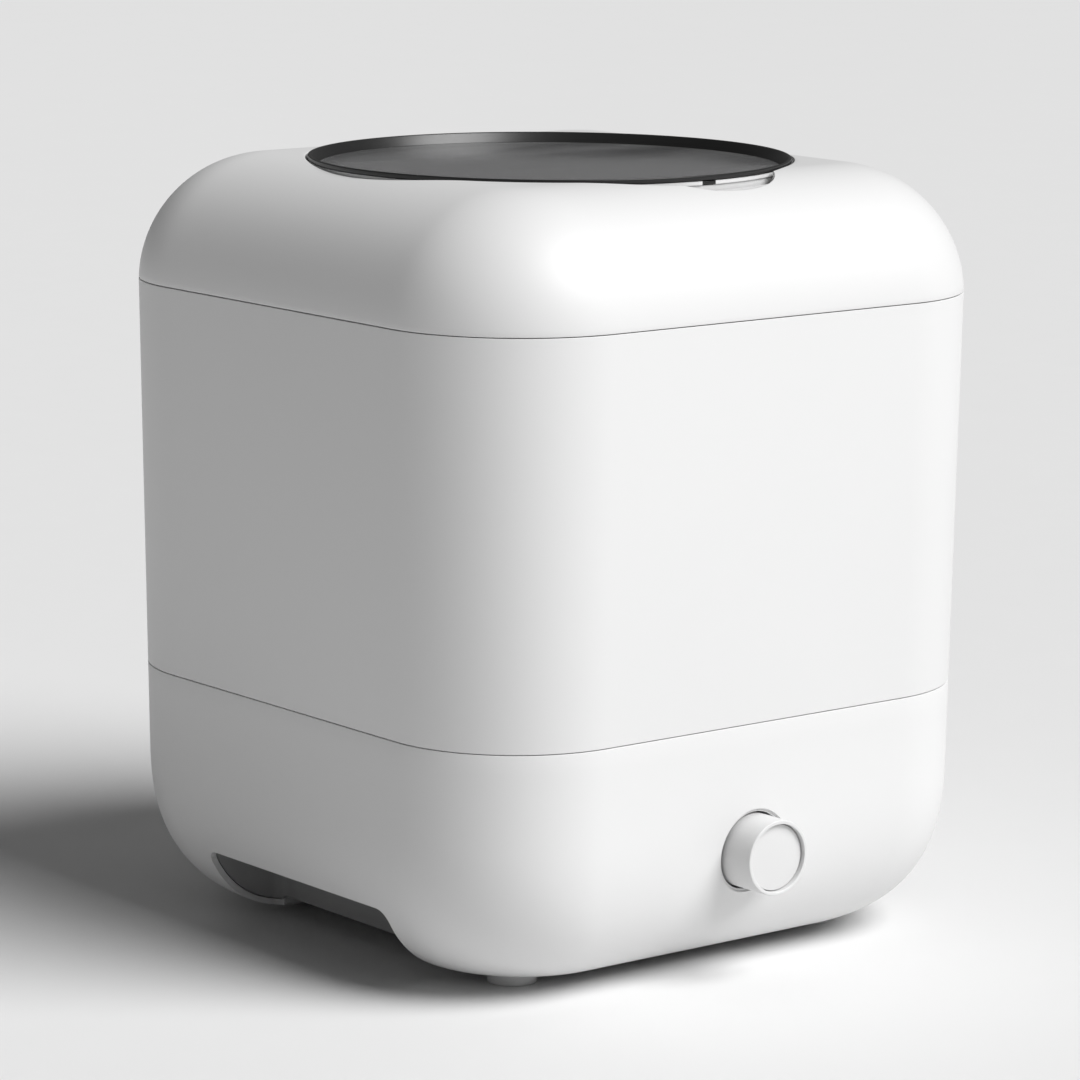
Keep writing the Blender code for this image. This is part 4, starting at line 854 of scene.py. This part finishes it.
def build_knob():
    recess, back = 6 * MM, 24 * MM
    bowl = BUTTON_RADIUS + 0.4 * MM
    profile = rounded_profile(
        [(0, -recess), (bowl, -recess), (bowl, 0), (KNOB_RADIUS, 0), (KNOB_RADIUS, -back),
         (3 * MM, -back), (3 * MM, -back - 12 * MM), (0, -back - 12 * MM)],
        [0, 0.3 * MM, 0.35 * MM, 0.6 * MM, 0.8 * MM, 0.3 * MM, 0.3 * MM, 0], open_ends=True,
    )
    mesh = turned("knob", profile, FRONT, (0, KNOB_FACE_Y, KNOB_Z))
    make_piece("knob_barrel", mesh, KNOB_WHITE, "control_knob", ["knob"])
    face = KNOB_FACE_Y - BUTTON_FACE_Y
    profile = rounded_profile(
        [(0, face), (BUTTON_RADIUS, face), (BUTTON_RADIUS, face - 2.3 * MM), (0, face - 2.3 * MM)],
        0.4 * MM, open_ends=True,
    )
    mesh = turned("button", profile, FRONT, (0, KNOB_FACE_Y, KNOB_Z))
    make_piece("button_disc", mesh, KNOB_WHITE, "start_button", ["knob_button"])


def build_rear():
    low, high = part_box("power_inlet")
    flange_y = high.y - 1.5 * MM
    profile = rounded_profile(
        [(0, -10 * MM), (4 * MM, -10 * MM), (4 * MM, 1.5 * MM), (9.5 * MM, 1.5 * MM), (9.5 * MM, 0),
         (INLET_RADIUS, 0), (INLET_RADIUS, -15 * MM), (0, -15 * MM)],
        0.5 * MM, open_ends=True,
    )
    mesh = turned("inlet", profile, REAR, (INLET_X, flange_y, INLET_Z), 96)
    make_piece("inlet_socket", mesh, BLACK, "root", ["power_inlet"])
    low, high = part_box("drain_cap")
    inner, outer = DRAIN_RADIUS + 0.3 * MM, high.x - DRAIN_X
    profile = rounded_profile(
        [(0, high.y), (outer, high.y), (outer, low.y), (inner, low.y), (inner, 157.4 * MM),
         (0, 157.4 * MM)],
        [0, 1.2 * MM, 0.6 * MM, 0.4 * MM, 0.3 * MM, 0], open_ends=True,
    )
    mesh = turned("cap", profile, REAR, (DRAIN_X, 0, DRAIN_Z), 96)
    make_piece("drain_bung", mesh, RUBBER, "drain_plug", ["drain_cap"])
    low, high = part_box("drain_spigot")
    profile = rounded_profile(
        [(6.5 * MM, high.y), (DRAIN_RADIUS, high.y), (DRAIN_RADIUS, 132.4 * MM), (12 * MM, 132.4 * MM),
         (12 * MM, 129.8 * MM), (DRAIN_RADIUS, 129.8 * MM), (DRAIN_RADIUS, low.y), (6.5 * MM, low.y)],
        0.4 * MM,
    )
    mesh = turned("spigot", profile, REAR, (DRAIN_X, 0, DRAIN_Z), 96)
    make_piece("drain_outlet", mesh, WHITE, "root", ["drain_spigot"])


# ---------------------------------------------------------------- CAD nodes that stay


def dress_cad_nodes():
    """Gives the CAD nodes that stay a material by their slot in the record."""
    by_slot = {
        "white_shell": WHITE, "knob_white": KNOB_WHITE, "tub_grey": TUB_GREY, "black_rim": BLACK,
        "tinted_window": WINDOW, "dark_liner": LINER, "rubber_grey": DARK_RUBBER, "steel": STEEL,
        "zinc": ZINC, "board_green": BOARD, "lead_black": DARK_RUBBER,
    }
    slot_of = {s["node"]: s["material_slot"] for s in frame["record"]["subparts"]}
    for name, obj in frame["nodes"].items():
        obj.data.materials.clear()
        obj.data.materials.append(by_slot[slot_of[name]])


# ---------------------------------------------------------------- stage, light and camera


def build_floor():
    bm = bmesh.new()
    bmesh.ops.create_grid(bm, x_segments=2, y_segments=2, size=30)
    mesh = bpy.data.meshes.new("studio_floor")
    bm.to_mesh(mesh)
    bm.free()
    floor = bpy.data.objects.new("studio_floor", mesh)
    bpy.context.scene.collection.objects.link(floor)
    mesh.materials.append(plastic("pale_floor", (0.78, 0.78, 0.78), 0.9, grain=40.0, shade=0.005))


def sun_light(name, heading, height, strength, spread):
    """A soft distant light. heading is counted from straight in front towards +X, in degrees."""
    light = bpy.data.lights.new(name, "SUN")
    light.energy = strength
    light.angle = math.radians(spread)
    obj = bpy.data.objects.new(name, light)
    a, e = math.radians(heading), math.radians(height)
    source = Vector((math.sin(a) * math.cos(e), -math.cos(a) * math.cos(e), math.sin(e)))
    obj.rotation_euler = source.to_track_quat("Z", "Y").to_euler()
    bpy.context.scene.collection.objects.link(obj)


def build_light():
    world = bpy.data.worlds.new("studio_world")
    world.use_nodes = True
    background = world.node_tree.nodes["Background"]
    background.inputs["Color"].default_value = (1, 1, 1, 1)
    background.inputs["Strength"].default_value = WORLD_STRENGTH
    bpy.context.scene.world = world
    sun_light("key_light", KEY_HEADING, KEY_HEIGHT, KEY_STRENGTH, KEY_SPREAD)
    bpy.context.scene.view_settings.view_transform = "Standard"




def build_camera():
    camera = bpy.data.cameras.new("camera")
    camera.sensor_width = 36
    camera.lens = CAMERA_LENS
    obj = bpy.data.objects.new("camera", camera)
    a, e = math.radians(CAMERA_AZIMUTH), math.radians(CAMERA_PITCH)
    back = Vector((math.sin(a) * math.cos(e), -math.cos(a) * math.cos(e), math.sin(e)))
    level = (-back).to_track_quat("-Z", "Y").to_matrix().to_4x4()
    roll = Matrix.Rotation(math.radians(CAMERA_ROLL), 4, "Z")
    obj.matrix_world = Matrix.Translation(CAMERA_PLACE) @ level @ roll
    bpy.context.scene.collection.objects.link(obj)
    bpy.context.scene.camera = obj


dress_cad_nodes()
build_top_cover()
build_body_shell()
build_base_shell()
build_grip_liners()
build_feet()
build_lid()
build_tub()
build_pulsator()
build_knob()
build_rear()
build_floor()
build_light()
build_camera()
